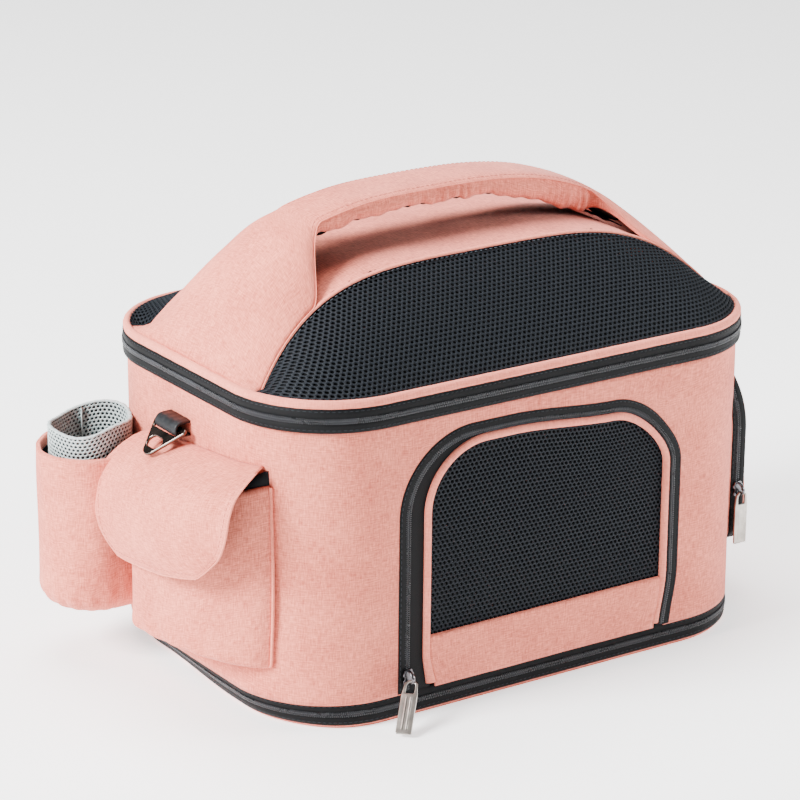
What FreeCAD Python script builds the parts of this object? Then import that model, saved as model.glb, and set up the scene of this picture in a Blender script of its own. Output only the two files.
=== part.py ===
import FreeCAD, Part
import Sketcher
import math
import os
import re
from FreeCAD import Placement, Rotation, Vector

# Pet carrier bag: a soft-sided travel carrier with a zip-off base, a domed zip lid with a
# padded handle, an arched zip door, a bottle pocket, a flap pocket and a zipped end pocket.
#
# Frame: +X along the long side, +Y to the back, +Z up.  The door is in the front wall (-Y).
# The origin is the centre of the base, on the surface that the bag stands on.

SIZES = {
    # body
    "body_length": 420, "body_depth": 276, "corner_radius": 75,
    "skin_height": 3, "low_coil_level": 10.5, "wall_bottom": 18, "wall_top": 221,
    "top_coil_level": 229, "band_top": 237.4, "rim_top": 243,
    "cloth": 1.6, "board": 2.2, "lining": 1, "tape": 2.4, "coil": 0.9, "gap": 0.3,
    "low_band_inset": 1, "top_band_proud": 3, "top_band_wall": 4.6, "piping": 5.5,
    # floor mat
    "mat_clearance": 7, "mat_bottom": 6.3, "mat_thickness": 13,
    # domed lid and handle
    "roof_rise": 63.5, "roof_reach": 203, "roof_width": 120, "seam_flare": 19.4, "roof_flat": 150,
    "mesh_reach": 197, "handle_rise": 99, "handle_reach": 205, "handle_foot": 183,
    "handle_width": 46, "handle_thickness": 13, "piping_set_back": 0.4, "rim_wire": 2.4, "wire_rise": 3,
    # arched door
    "door_width": 244, "door_top": 207, "door_radius": 58, "door_bottom": 19,
    "coil_path_width": 232, "coil_path_top": 204, "coil_path_radius": 55,
    "piping_width": 215, "piping_top": 202, "piping_radius": 52, "panel_shift": 4.5,
    "net_width": 203, "net_top": 196, "net_radius": 46, "net_bottom": 57, "door_cord_proud": 1.4,
    # left end: bottle pocket, flap pocket, D-ring
    "bottle_x": -237, "bottle_y": 90, "bottle_radius": 38, "bottle_bottom": 48, "bottle_top": 160,
    "sleeve_radius": 31, "sleeve_top": 181, "binding_height": 8,
    "pouch_bottom": 40, "pouch_top": 168, "pouch_front": -98, "pouch_rear": 24, "pouch_bulge": 36,
    "flap_front": -96, "flap_rear": 46, "flap_hinge_z": 183, "flap_bottom": 100, "flap_out": 43,
    "flap_slope": 20, "flap_radius": 48, "flap_thickness": 2.6,
    "pad": 0.8, "pad_width": 32, "pad_height": 22,
    "ring_x": 217, "ring_y": 10, "ring_z": 193, "ring_half": 17, "ring_drop": 21.5, "ring_plate": 3,
    "left_ring_lean": 56.5, "right_ring_lean": 65, "tab_width": 28, "tab_radius": 6, "tab_bore": 2.8,
    # right end: zipped pocket
    "end_width": 168, "end_top": 184, "end_radius": 52, "end_bottom": 44, "end_out": 22,
    "end_zip_level": 221.5, "end_zip_width": 5.5,
    # zip sliders and pulls
    "slider_width": 9, "slider_height": 12, "slider_plate": 2, "bail_depth": 7, "bail_width": 1.8,
    "bail_height": 9, "bail_wire": 1.3, "crossbar_out": 3.3, "crossbar_drop": 1.8, "crossbar": 1.6,
    "pull_length": 42, "pull_width": 11.5, "pull_radius": 5.2, "pull_window": 7.5,
    "window_height": 8, "window_radius": 3.2,
    "door_slider_x": -116, "door_slider_z": 31, "door_pull_yaw": 39, "door_pull_swing": 49.5,
    "lid_slider_y": -18, "base_slider_y": 40, "base_pull_swing": 79, "end_slider_z": 86,
    "hinge_tape_half": 110,
}

doc = FreeCAD.newDocument("pet_carrier_bag")
sheet = doc.addObject("Spreadsheet::Sheet", "sizes")
for row, (alias, number) in enumerate(SIZES.items(), 1):
    sheet.set(f"A{row}", alias)
    sheet.set(f"B{row}", str(number))
    sheet.setAlias(f"B{row}", alias)
doc.recompute()

nodes = []


def value(text):
    """The number that an expression in the sheet's words comes to."""
    return float(sheet.evalExpression(text))


def bound(text):
    """The expression as another object of the document has to write it."""
    return re.sub(r"[a-z][a-z_]*", lambda word: "sizes." + word.group(), text)


def keep(item, name):
    """Names a finished sub-part, and lists it for the export."""
    item.Label = name
    nodes.append(item)
    return item


def place(item, at):
    for axis, text in zip("xyz", at):
        if text != "0":
            item.setExpression(f"Placement.Base.{axis}", bound(text))


def limit(sketch, constraint, text):
    """A sketch dimension, bound to the sheet."""
    number = sketch.addConstraint(constraint)
    sketch.setExpression(f"Constraints[{number}]", bound(text))


def new_sketch(body, plane):
    origin = next(f for f in body.Origin.OriginFeatures if f.Role == plane)
    sketch = body.newObject("Sketcher::SketchObject", body.Name + "_outline")
    sketch.AttachmentSupport = [(origin, "")]
    sketch.MapMode = "FlatFace"
    return sketch


def rounded_loop(sketch, width, height, radius):
    """A rounded rectangle centred on the sketch's origin."""
    a, b, r = value(width) / 2, value(height) / 2, value(radius)
    first = sketch.GeometryCount
    ends = [
        ((r - a, -b), (a - r, -b)), ((a, r - b), (a, b - r)),
        ((a - r, b), (r - a, b)), ((-a, b - r), (-a, r - b)),
    ]
    centres = [(a - r, r - b), (a - r, b - r), (r - a, b - r), (r - a, r - b)]
    for side in range(4):
        start, end = ends[side]
        sketch.addGeometry(Part.LineSegment(Vector(*start, 0), Vector(*end, 0)), False)
        circle = Part.Circle(Vector(*centres[side], 0), Vector(0, 0, 1), r)
        quarter = math.pi / 2
        sketch.addGeometry(Part.ArcOfCircle(circle, (side - 1) * quarter, side * quarter), False)
    line = [first + 2 * side for side in range(4)]
    arc = [first + 2 * side + 1 for side in range(4)]
    for side in range(4):
        sketch.addConstraint(Sketcher.Constraint("Tangent", line[side], 2, arc[side], 1))
        sketch.addConstraint(Sketcher.Constraint("Tangent", arc[side], 2, line[(side + 1) % 4], 1))
        sketch.addConstraint(Sketcher.Constraint("Vertical" if side % 2 else "Horizontal", line[side]))
        if side:
            sketch.addConstraint(Sketcher.Constraint("Equal", arc[0], arc[side]))
    sketch.addConstraint(Sketcher.Constraint("Symmetric", arc[0], 3, arc[2], 3, -1, 1))
    limit(sketch, Sketcher.Constraint("Radius", arc[0], r), radius)
    limit(sketch, Sketcher.Constraint("DistanceX", line[3], 1, line[1], 1, 2 * a), width)
    limit(sketch, Sketcher.Constraint("DistanceY", line[0], 1, line[2], 1, 2 * b), height)


def arch_loop(sketch, width, height, radius):
    """A flat-bottomed outline with two round top corners, its base centred on the origin."""
    a, top, r = value(width) / 2, value(height), value(radius)
    lines = [
        ((-a, 0), (a, 0)), ((a, 0), (a, top - r)),
        ((a - r, top), (r - a, top)), ((-a, top - r), (-a, 0)),
    ]
    for start, end in lines:
        sketch.addGeometry(Part.LineSegment(Vector(*start, 0), Vector(*end, 0)), False)
    for side, start in ((1, 0), (-1, math.pi / 2)):
        circle = Part.Circle(Vector(side * (a - r), top - r, 0), Vector(0, 0, 1), r)
        sketch.addGeometry(Part.ArcOfCircle(circle, start, start + math.pi / 2), False)
    floor, right, roof, left, right_arc, left_arc = range(6)
    for pair in ((left, 2, floor, 1), (floor, 2, right, 1)):
        sketch.addConstraint(Sketcher.Constraint("Coincident", *pair))
    smooth = ((right, right_arc), (right_arc, roof), (roof, left_arc), (left_arc, left))
    for before, after in smooth:
        pair = (before, 2, after, 1)
        sketch.addConstraint(Sketcher.Constraint("Tangent", *pair))
    for side in (floor, roof):
        sketch.addConstraint(Sketcher.Constraint("Horizontal", side))
    for side in (left, right):
        sketch.addConstraint(Sketcher.Constraint("Vertical", side))
    sketch.addConstraint(Sketcher.Constraint("Equal", left_arc, right_arc))
    sketch.addConstraint(Sketcher.Constraint("Symmetric", floor, 1, floor, 2, -1, 1))
    limit(sketch, Sketcher.Constraint("Radius", right_arc, r), radius)
    limit(sketch, Sketcher.Constraint("DistanceX", floor, 1, floor, 2, 2 * a), width)
    limit(sketch, Sketcher.Constraint("DistanceY", right, 1, roof, 1, top), height)


def padded_body(name, plane, draw, loops, depth, at):
    """A body with one sketch of the given loops, padded to a depth along the plane's normal."""
    body = doc.addObject("PartDesign::Body", name)
    sketch = new_sketch(body, plane)
    for loop in loops:
        draw(sketch, *loop)
    pad = body.newObject("PartDesign::Pad", name + "_pad")
    pad.Profile = sketch
    pad.setExpression("Length", bound(depth))
    sketch.Visibility = False
    place(body, at)
    return body


def ring_loops(inset, wall):
    """Outer and inner outline of a ring that follows the bag's plan, inset from the body."""
    outer = [f"body_length - 2 * ({inset})", f"body_depth - 2 * ({inset})", f"corner_radius - ({inset})"]
    inner = [f"body_length - 2 * ({inset} + {wall})", f"body_depth - 2 * ({inset} + {wall})",
             f"corner_radius - ({inset} + {wall})"]
    return [outer, inner]


def ring(name, inset, wall, bottom, top):
    """A band round the whole bag between two levels."""
    loops = ring_loops(inset, wall)
    return padded_body(name, "XY_Plane", rounded_loop, loops, f"{top} - ({bottom})", ("0", "0", bottom))


def plate(name, inset, bottom, top):
    """A solid floor of the bag's plan between two levels."""
    loops = ring_loops(inset, "1")[:1]
    return padded_body(name, "XY_Plane", rounded_loop, loops, f"{top} - ({bottom})", ("0", "0", bottom))


def arch(name, width, top, radius, bottom, face, depth, shift="0"):
    """An arched plate in the front wall: its outer face at the level face, in front of the wall."""
    loops = [(width, f"{top} - ({bottom})", radius)]
    at = (shift, f"{face} + {depth} - body_depth / 2", bottom)
    return padded_body(name, "XZ_Plane", arch_loop, loops, depth, at)


def box(name, corner, size):
    item = doc.addObject("Part::Box", name)
    for side, text in zip(("Length", "Width", "Height"), size):
        item.setExpression(side, bound(text))
    place(item, corner)
    return item


def cylinder(name, radius, height, at):
    item = doc.addObject("Part::Cylinder", name)
    item.setExpression("Radius", bound(radius))
    item.setExpression("Height", bound(height))
    place(item, at)
    return item


def cut(name, base, tool):
    item = doc.addObject("Part::Cut", name)
    item.Base = base
    item.Tool = tool
    return item


def fuse(name, *shapes):
    item = doc.addObject("Part::MultiFuse", name)
    item.Shapes = list(shapes)
    return item


def zip_ring(name, *band):
    """A ring of zip teeth, left out along the back, where a strip of cloth is the hinge."""
    corner = ("-hinge_tape_half", "body_depth / 2 - 30", "0")
    gap_box = box(name + "_gap", corner, ("2 * hinge_tape_half", "60", "rim_top"))
    return cut(name, ring(name + "_loop", *band), gap_box)


def hinge_strip(name, out, low, high):
    """The strip of cloth across the back that joins the two halves of a zip band."""
    corner = ("1 - hinge_tape_half", f"body_depth / 2 + ({out})", low)
    return box(name, corner, ("2 * hinge_tape_half - 2", "coil", f"{high} - ({low})"))


def arch_strip(name, outer, inner, bottom, face, depth):
    """An arched band: the plate of one outline less the plate of the next one in."""
    whole = arch(name + "_outer", *outer[:3], bottom, face, depth, outer[3])
    hole = arch(name + "_inner", *inner[:3], f"{bottom} - 1", f"{face} - 1", f"{depth} + 2", inner[3])
    return cut(name, whole, hole)


def solid(name, shape, spot=None):
    """A shape worked out in code, for the curved panels that no single feature makes."""
    item = doc.addObject("Part::Feature", name)
    item.Shape = shape
    if spot is not None:
        item.Placement = spot
    return item


DOOR_TAPE = ("door_width", "door_top", "door_radius", "0")
COIL_OUT = ("coil_path_width + 2 * coil", "coil_path_top + coil", "coil_path_radius + coil", "0")
COIL_MID_OUT = ("coil_path_width + gap", "coil_path_top + gap / 2", "coil_path_radius", "0")
COIL_MID_IN = ("coil_path_width - gap", "coil_path_top - gap / 2", "coil_path_radius", "0")
COIL_IN = ("coil_path_width - 2 * coil", "coil_path_top - coil", "coil_path_radius - coil", "0")
PIPING = ("piping_width", "piping_top", "piping_radius", "panel_shift")
NET = ("net_width", "net_top", "net_radius", "panel_shift")


def base_nodes():
    """The tray that the walls zip on to: skin, board, lower half of the zip, hinge tape and mat."""
    low = "low_band_inset"
    keep(plate("base_skin_solid", "0", "0", "skin_height"), "base_skin")
    keep(ring("base_tape", low, "tape", "skin_height", "low_coil_level - gap"), "base_zip_tape")
    teeth = (f"{low} - coil", "coil")
    keep(zip_ring("base_teeth", *teeth, "low_coil_level - 1.6", "low_coil_level - gap"), "base_zip_coil")
    strip = hinge_strip("base_hinge", "-low_band_inset", "skin_height + 0.5", "low_coil_level - gap")
    keep(strip, "base_hinge_tape")
    keep(plate("base_stiffener", f"{low} + tape + gap", "skin_height", "mat_bottom - gap"), "base_board")
    inset = "mat_clearance + cloth + board + lining"
    keep(plate("mat_solid", inset, "mat_bottom", "mat_bottom + mat_thickness"), "floor_mat")
    low_tape = ring("wall_low_band", low, "tape", "low_coil_level + gap", "wall_bottom")
    keep(low_tape, "wall_low_zip_tape")
    upper = zip_ring("wall_low_teeth", *teeth, "low_coil_level + gap", "low_coil_level + 1.6")
    keep(upper, "wall_low_zip_coil")


def door_hole(name, depth):
    """The arched hole through the front wall."""
    return arch(name, *DOOR_TAPE[:3], "wall_bottom - 1", "-5", depth)


def wall_nodes():
    """The four walls: outer cloth, stiffening boards and lining, with the upper zip half."""
    cloth = ring("cloth_ring", "0", "cloth", "wall_bottom", "wall_top")
    keep(cut("wall_cloth_cut", cloth, door_hole("cloth_hole", "20")), "wall_cloth")
    inset = "cloth + board"
    lining = ring("wall_lining_ring", inset, "lining", "wall_bottom", "wall_top")
    keep(cut("wall_lining_cut", lining, door_hole("lining_hole", "20")), "wall_lining")
    long_side = ("body_length - 2 * corner_radius", "board", "wall_top - wall_bottom - 8")
    start = "corner_radius - body_length / 2"
    front = box("front_board_solid", (start, "cloth - body_depth / 2", "wall_bottom + 4"), long_side)
    keep(cut("front_board_cut", front, door_hole("board_hole", "20")), "front_board")
    rear = (start, "body_depth / 2 - cloth - board", "wall_bottom + 4")
    keep(box("rear_board_solid", rear, long_side), "rear_board")
    short_side = ("board", "body_depth - 2 * corner_radius", "wall_top - wall_bottom - 8")
    sideways = "corner_radius - body_depth / 2"
    left = box("left_board_solid", ("cloth - body_length / 2", sideways, "wall_bottom + 4"), short_side)
    right = ("body_length / 2 - cloth - board", sideways, "wall_bottom + 4")
    keep(fuse("end_boards_pair", left, box("right_board_solid", right, short_side)), "end_boards")
    band = ring("wall_band", "-top_band_proud", "top_band_wall", "wall_top", "top_coil_level - gap")
    keep(band, "wall_top_zip_tape")
    teeth = ("-top_band_proud - coil", "coil", "top_coil_level - 1.6", "top_coil_level - gap")
    keep(zip_ring("wall_top_teeth", *teeth), "wall_top_zip_coil")


def door_nodes():
    """The arched door and the fixed half of its zip."""
    strips = [
        ("door_frame_zip_tape", DOOR_TAPE, COIL_MID_OUT, "wall_bottom", "0", "cloth"),
        ("door_frame_zip_coil", COIL_OUT, COIL_MID_OUT, "door_bottom", "-coil", "coil"),
        ("door_zip_tape", COIL_MID_IN, PIPING, "door_bottom", "0", "cloth"),
        ("door_zip_coil", COIL_MID_IN, COIL_IN, "door_bottom", "-coil", "coil"),
        ("door_piping", PIPING, NET, "door_bottom", "-door_cord_proud", "cloth + door_cord_proud"),
    ]
    for name, *strip in strips:
        keep(arch_strip(name + "_strip", *strip), name)
    keep(arch("door_net_solid", *NET[:3], "net_bottom", "0", "cloth", NET[3]), "door_mesh")
    panel = ("panel_shift - net_width / 2", "-body_depth / 2", "door_bottom")
    size = ("net_width", "cloth", "net_bottom - door_bottom")
    keep(box("door_panel_solid", panel, size), "door_lower_panel")


def roof_height(x):
    """Height of the roof seam above the rim."""
    return value("roof_rise") * (1 - abs(x / value("roof_reach")) ** 4)


def seam_offset(x):
    """Distance of the roof seam from the middle of the bag."""
    return value("roof_width") / 2 + value("seam_flare") * abs(x / value("roof_reach")) ** 4


def rim_offset(x):
    """Half depth of the bag's plan at x, inside the rim piping."""
    inset = value("piping - top_band_proud + piping_set_back + 0.1")
    radius = value("corner_radius") - inset
    past = max(0, abs(x) - value("body_length / 2 - corner_radius"))
    return value("body_depth / 2 - corner_radius") + math.sqrt(radius ** 2 - past ** 2)


def loft(sections):
    """A smooth solid through closed polygons."""
    wires = [Part.makePolygon([Vector(*point) for point in section + section[:1]]) for section in sections]
    return Part.makeLoft(wires, True, False)


def stations(first, last, count):
    return [first + (last - first) * step / (count - 1) for step in range(count)]


def roof_section(x, thickness):
    """The flat strip of the roof between its two seams, at x."""
    low = value("rim_top") + roof_height(x) - thickness
    y = seam_offset(x)
    return [(x, -y, low), (x, y, low), (x, y, low + thickness), (x, -y, low + thickness)]


def net_section(x, side, thickness):
    """The slanting strip of mesh between the rim and the roof seam, at x."""
    rim, seam = rim_offset(x), seam_offset(x) + 0.05
    low, high = value("rim_top"), value("rim_top") + roof_height(x)
    length = math.hypot(rim - seam, high - low)
    inward, down = thickness * (high - low) / length, thickness * (rim - seam) / length
    outline = [(rim, low), (seam, high), (seam, high - down - inward), (rim - inward - down, low)]
    return [(x, side * y, z) for y, z in outline]


def handle_height(x):
    return value("handle_rise") * (1 - abs(x / value("handle_reach")) ** 3)


def handle_strip(name, upper, lower, width):
    """A strip of the handle's arch between two depths below its top, clear of the roof."""
    reach = value("handle_foot")
    spots = stations(-reach, reach, 15)
    rim = value("rim_top")
    crown = Part.BSplineCurve()
    crown.interpolate([Vector(x, 0, rim + handle_height(x) - upper) for x in spots])
    belly = Part.BSplineCurve()
    belly.interpolate([Vector(x, 0, rim + handle_height(x) - lower) for x in spots])
    tips = (crown.FirstParameter, crown.LastParameter)
    ends = [Part.makeLine(crown.value(tip), belly.value(tip)) for tip in tips]
    face = Part.Face(Part.Wire(Part.__sortEdges__([crown.toShape(), belly.toShape(), *ends])))
    face.translate(Vector(0, -width / 2, 0))
    return solid(name, face.extrude(Vector(0, width, 0)))


def lid_nodes():
    """The domed lid: zip half, piped rim with its wire, roof, ends, mesh sides and handle."""
    cloth, rim = value("cloth"), value("rim_top")
    level = "top_coil_level + gap"
    keep(ring("lid_band", "-top_band_proud", "top_band_wall", level, "band_top"), "lid_zip_tape")
    teeth = ("-top_band_proud - coil", "coil", level, "top_coil_level + 1.6")
    keep(zip_ring("lid_teeth", *teeth), "lid_zip_coil")
    keep(hinge_strip("lid_hinge", "top_band_proud", level, "band_top"), "lid_hinge_tape")
    cord = ring("rim_cord", "piping_set_back - top_band_proud", "piping", "band_top", "rim_top")
    keep(cord, "rim_piping")
    low = "top_coil_level + wire_rise"
    wire = ("top_band_wall - top_band_proud", "rim_wire", low, low + " + rim_wire")
    keep(ring("rim_wire_ring", *wire), "rim_wire")
    flat, reach = value("roof_flat"), value("roof_reach")
    roof = [roof_section(x, cloth) for x in stations(-flat, flat, 9)]
    keep(solid("roof_loft", loft(roof)), "roof_panel")
    panels = []
    for name, side in (("left_end_panel", -1), ("right_end_panel", 1)):
        ends = [roof_section(side * x, cloth) for x in stations(flat, reach, 6)]
        panels.append(keep(solid(name + "_loft", loft(ends)), name))
    for name, side in (("front_lid_mesh", -1), ("rear_lid_mesh", 1)):
        reach = value("mesh_reach")
        nets = [net_section(x, side, cloth) for x in stations(-reach, reach, 15)]
        keep(solid(name + "_loft", loft(nets)), name)
    width, thickness = value("handle_width"), value("handle_thickness")
    reach = value("roof_reach")
    under_roof = solid("roof_block", loft([roof_section(x, rim) for x in stations(-reach, reach, 13)]))
    block = fuse("handle_clearance", under_roof, *panels)
    shell = handle_strip("handle_shell", 0, thickness - cloth, width)
    core = handle_strip("handle_core_whole", cloth, thickness - cloth, width - 2 * cloth)
    hollow = handle_strip("handle_hollow", cloth, thickness, width - 2 * cloth)
    under = handle_strip("handle_under_whole", thickness - cloth, thickness, width)
    cover = cut("handle_cover_hollow", shell, hollow)
    for name, base in (("handle_cover", cover), ("handle_foam", core), ("handle_underside", under)):
        keep(cut(name + "_cut", base, block), name)


def pouch_outline(inset):
    """Plan of the flap pocket: a blunt wedge that dies away on to the front corner."""
    wall, bulge = value("body_length / 2"), value("pouch_bulge") - inset
    front, rear = value("pouch_front") + inset * 1.6, value("pouch_rear") - inset
    middle = (front + rear) / 2
    return [
        (8 - wall, rear), (2 - wall - bulge, rear), (-wall - bulge, rear - 6),
        (-wall - bulge, middle + 12), (-wall - 0.72 * bulge, middle - 22),
        (8 - wall, front), (30 - wall, front), (30 - wall, rear),
    ]


def prism(outline, low, high):
    points = [Vector(x, y, low) for x, y in outline + outline[:1]]
    return Part.Face(Part.makePolygon(points)).extrude(Vector(0, 0, high - low))


def bottle_block(name, radius, bottom, height):
    """A round cup's solid, squared off towards the wall."""
    cup = cylinder(name + "_round", radius, height, ("bottle_x", "bottle_y", bottom))
    corner = ("bottle_x", f"bottle_y - ({radius})", bottom)
    back = box(name + "_back", corner, ("corner_radius", f"2 * ({radius})", height))
    return fuse(name, cup, back)


def wall_block(name, inset="0"):
    """The bag's whole plan, to cut the pockets to the wall's round corners."""
    return plate(name, inset, "0", "rim_top")


def pocket_nodes():
    """The left end's bottle pocket with its mesh sleeve, and the flap pocket."""
    level = "bottle_top - binding_height"
    cup = bottle_block("bottle_cup", "bottle_radius", "bottle_bottom", f"{level} - bottle_bottom")
    hollow = bottle_block("bottle_hollow", "bottle_radius - cloth", "bottle_bottom + cloth", level)
    open_cup = cut("bottle_open", cup, hollow)
    keep(cut("bottle_cloth", open_cup, wall_block("pocket_wall_block")), "bottle_pocket")
    rim = bottle_block("mouth_outer", "bottle_radius", level, "binding_height")
    mouth = bottle_block("mouth_inner", "bottle_radius - cloth", f"{level} - 1", "binding_height + 2")
    binding = cut("mouth_open", rim, mouth)
    keep(cut("mouth_ring", binding, wall_block("mouth_wall_block")), "bottle_pocket_binding")
    spot = ("bottle_x", "bottle_y", "bottle_bottom + cloth")
    sleeve = cylinder("sleeve_outer", "sleeve_radius", "sleeve_top - bottle_bottom - cloth", spot)
    spot = ("bottle_x", "bottle_y", "bottle_bottom + 3 * cloth")
    bore = cylinder("sleeve_bore", "sleeve_radius - 2 * cloth", "sleeve_top", spot)
    open_sleeve = cut("sleeve_cup", sleeve, bore)
    keep(cut("sleeve_trim", open_sleeve, wall_block("sleeve_wall_block", "-gap")), "bottle_sleeve")
    low, high, cloth = value("pouch_bottom"), value("pouch_top"), value("cloth")
    outer = solid("pouch_outer", prism(pouch_outline(0), low, high))
    inner = solid("pouch_inner", prism(pouch_outline(cloth), low + cloth, high + 1))
    pouch = cut("pouch_open", outer, inner)
    keep(cut("pouch_trim", pouch, wall_block("pouch_wall_block")), "flap_pocket")
    lining_out = solid("lining_outer", prism(pouch_outline(cloth), low + cloth, high - 2))
    lining_in = solid("lining_inner", prism(pouch_outline(cloth + 0.8), low + cloth + 0.8, high + 1))
    lining = cut("lining_open", lining_out, lining_in)
    keep(cut("lining_trim", lining, wall_block("lining_wall_block")), "flap_pocket_lining")


def flap_profile(offset):
    """The flap's bent side view, this far outside its own inner face."""
    slope = math.radians(value("flap_slope"))
    reach, bend = value("flap_out"), 16 + offset
    hinge = Vector(-value("body_length / 2") - 0.6, 0, value("flap_hinge_z"))
    normal = Vector(-math.sin(slope), 0, math.cos(slope))
    start = hinge + normal * offset
    edge_x = hinge.x - reach - offset
    centre_x = edge_x + bend
    centre_z = hinge.z + (centre_x - hinge.x) * math.tan(slope) - (bend - offset) / math.cos(slope)
    centre = Vector(centre_x, 0, centre_z)
    knee = centre + normal * bend
    middle_angle = (math.pi / 2 - slope) / 2
    middle = centre + Vector(-math.cos(middle_angle), 0, math.sin(middle_angle)) * bend
    side = Vector(edge_x, 0, centre_z)
    foot = Vector(edge_x, 0, value("flap_bottom"))
    return start, knee, middle, side, foot


def flap_sheet(name, inner, outer, front, rear):
    """A bent sheet between two offsets, from the wall over the pocket's mouth."""
    near, far = flap_profile(inner), flap_profile(outer)
    edges = [Part.makeLine(near[0], far[0]), Part.makeLine(near[4], far[4])]
    for start, knee, middle, side, foot in (near, far):
        edges.append(Part.makeLine(start, knee))
        edges.append(Part.Arc(knee, middle, side).toShape())
        edges.append(Part.makeLine(side, foot))
    face = Part.Face(Part.Wire(Part.__sortEdges__(edges)))
    face.translate(Vector(0, front, 0))
    return solid(name, face.extrude(Vector(0, rear - front, 0)))


def flap_nodes():
    """The flap with its round lower corners, its lining, and the touch fastener under it."""
    front, rear, thick = value("flap_front"), value("flap_rear"), value("flap_thickness")
    width = "flap_rear - flap_front"
    outline = [(width, "flap_hinge_z - flap_bottom + 12", "flap_radius")]
    corner = ("-body_length / 2 - 2 * flap_out", "(flap_rear + flap_front) / 2", "flap_hinge_z + 12")
    rounding = padded_body("flap_outline", "YZ_Plane", arch_loop, outline, "2 * flap_out + 5", corner)
    rounding.Placement = Placement(Vector(0, 0, 0), Rotation(Vector(1, 0, 0), 180))
    for name, low, high in (("pocket_flap", 0.9, thick), ("pocket_flap_lining", 0, 0.9)):
        whole = flap_sheet(name + "_sheet", low, high, front, rear)
        rounded = doc.addObject("Part::MultiCommon", name + "_rounded")
        rounded.Shapes = [whole, rounding]
        keep(rounded, name)
    size = ("pad", "pad_width", "pad_height")
    edge, low = "(pouch_front + pouch_rear + 24 - pad_width) / 2", "flap_bottom + 14"
    pads = [
        ("flap_hook_pad", "-body_length / 2 - flap_out - 0.6"),
        ("pocket_loop_pad", "-body_length / 2 - pouch_bulge - pad"),
    ]
    for name, out in pads:
        keep(box(name + "_solid", (out, edge, low), size), name)


def tangent_outline(circles):
    """The wire that runs round several circles in counterclockwise order, like a belt."""
    touches = []
    for (x1, y1, r1), (x2, y2, r2) in zip(circles, circles[1:] + circles[:1]):
        span = math.hypot(x2 - x1, y2 - y1)
        heading = math.atan2(y2 - y1, x2 - x1) - math.acos((r1 - r2) / span)
        turn = Vector(math.cos(heading), math.sin(heading), 0)
        touches.append((Vector(x1, y1, 0) + turn * r1, Vector(x2, y2, 0) + turn * r2))
    edges = []
    for index, (x, y, r) in enumerate(circles):
        arrive, leave = touches[index - 1][1], touches[index][0]
        middle = (arrive + leave) * 0.5 - Vector(x, y, 0)
        if len(circles) == 2:
            middle = (Vector(x, y, 0) - Vector(*circles[1 - index][:2], 0))
        edges.append(Part.Arc(arrive, Vector(x, y, 0) + middle.normalize() * r, leave).toShape())
        edges.append(Part.makeLine(leave, touches[index][1]))
    return Part.Wire(edges)


def d_ring(name, side, lean):
    """A flat triangular ring: crossbar, slot for the webbing and a round eye near its tip."""
    half, drop, thick = value("ring_half"), value("ring_drop"), value("ring_plate")
    slot_half = value("tab_width") / 2 - 0.6
    bar, tip = thick, 2.5 * thick
    outline = tangent_outline([(half, -1.4, bar), (-half, -1.4, bar), (0, -drop, tip)])
    slots = [[(slot_half, low, 2), (-slot_half, low, 2)] for low in (-4.2, -5.4)]
    eye = [(3, thick - drop, 1.5 * thick), (-3, thick - drop, 1.5 * thick)]
    blank = Part.Face(outline).extrude(Vector(0, 0, thick))
    for hole in (*slots, eye):
        blank = blank.cut(Part.Face(tangent_outline(hole)).extrude(Vector(0, 0, thick)))
    spot = Vector(side * value("ring_x"), value("ring_y"), value("ring_z"))
    hanging = Rotation(Vector(1, 0, 0), 90) * Rotation(Vector(0, 1, 0), 90)
    leaning = Placement(spot, Rotation(Vector(0, 1, 0), -side * lean) * hanging)
    return solid(name, blank, leaning * Placement(Vector(0, 0, -thick / 2), Rotation()))


def ring_nodes():
    """The two D-rings and the rolled webbing tabs that hold them."""
    for name, side in (("left", -1), ("right", 1)):
        start = (f"{side} * ring_x", "ring_y - tab_width / 2", "ring_z")
        roll = cylinder(name + "_tab_roll", "tab_radius", "tab_width", start)
        bore = cylinder(name + "_tab_bore", "tab_bore", "tab_width", start)
        for item in (roll, bore):
            item.Placement = Placement(item.Placement.Base, Rotation(Vector(1, 0, 0), -90))
        inner = "-ring_x" if side < 0 else "body_length / 2"
        corner = (inner, "ring_y - tab_width / 2", "ring_z - tab_radius")
        size = ("ring_x - body_length / 2", "tab_width", "2 * tab_radius")
        root = box(name + "_tab_root", corner, size)
        keep(cut(name + "_tab_cut", fuse(name + "_tab_whole", roll, root), bore), name + "_ring_tab")
        keep(d_ring(name + "_ring_plate", side, value(name + "_ring_lean")), name + "_ring")


def end_arch(name, inset, low, high, bottom_inset="0"):
    """An arched block on the right end, between two distances from the bag's middle."""
    height = f"end_top - end_bottom - ({inset}) - ({bottom_inset})"
    loops = [(f"end_width - 2 * ({inset})", height, f"end_radius - ({inset})")]
    at = (low, "0", f"end_bottom + {bottom_inset}")
    return padded_body(name, "YZ_Plane", arch_loop, loops, f"{high} - ({low})", at)


def end_band(name, grow, low, high):
    """A band of the end pocket's side wall."""
    outer = end_arch(name + "_outer", f"-({grow})", low, high, f"-({grow})")
    inset = "cloth" if grow == "0" else "0"
    inner = end_arch(name + "_inner", inset, f"{low} - 1", f"{high} + 1", inset)
    return cut(name, outer, inner)


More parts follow.
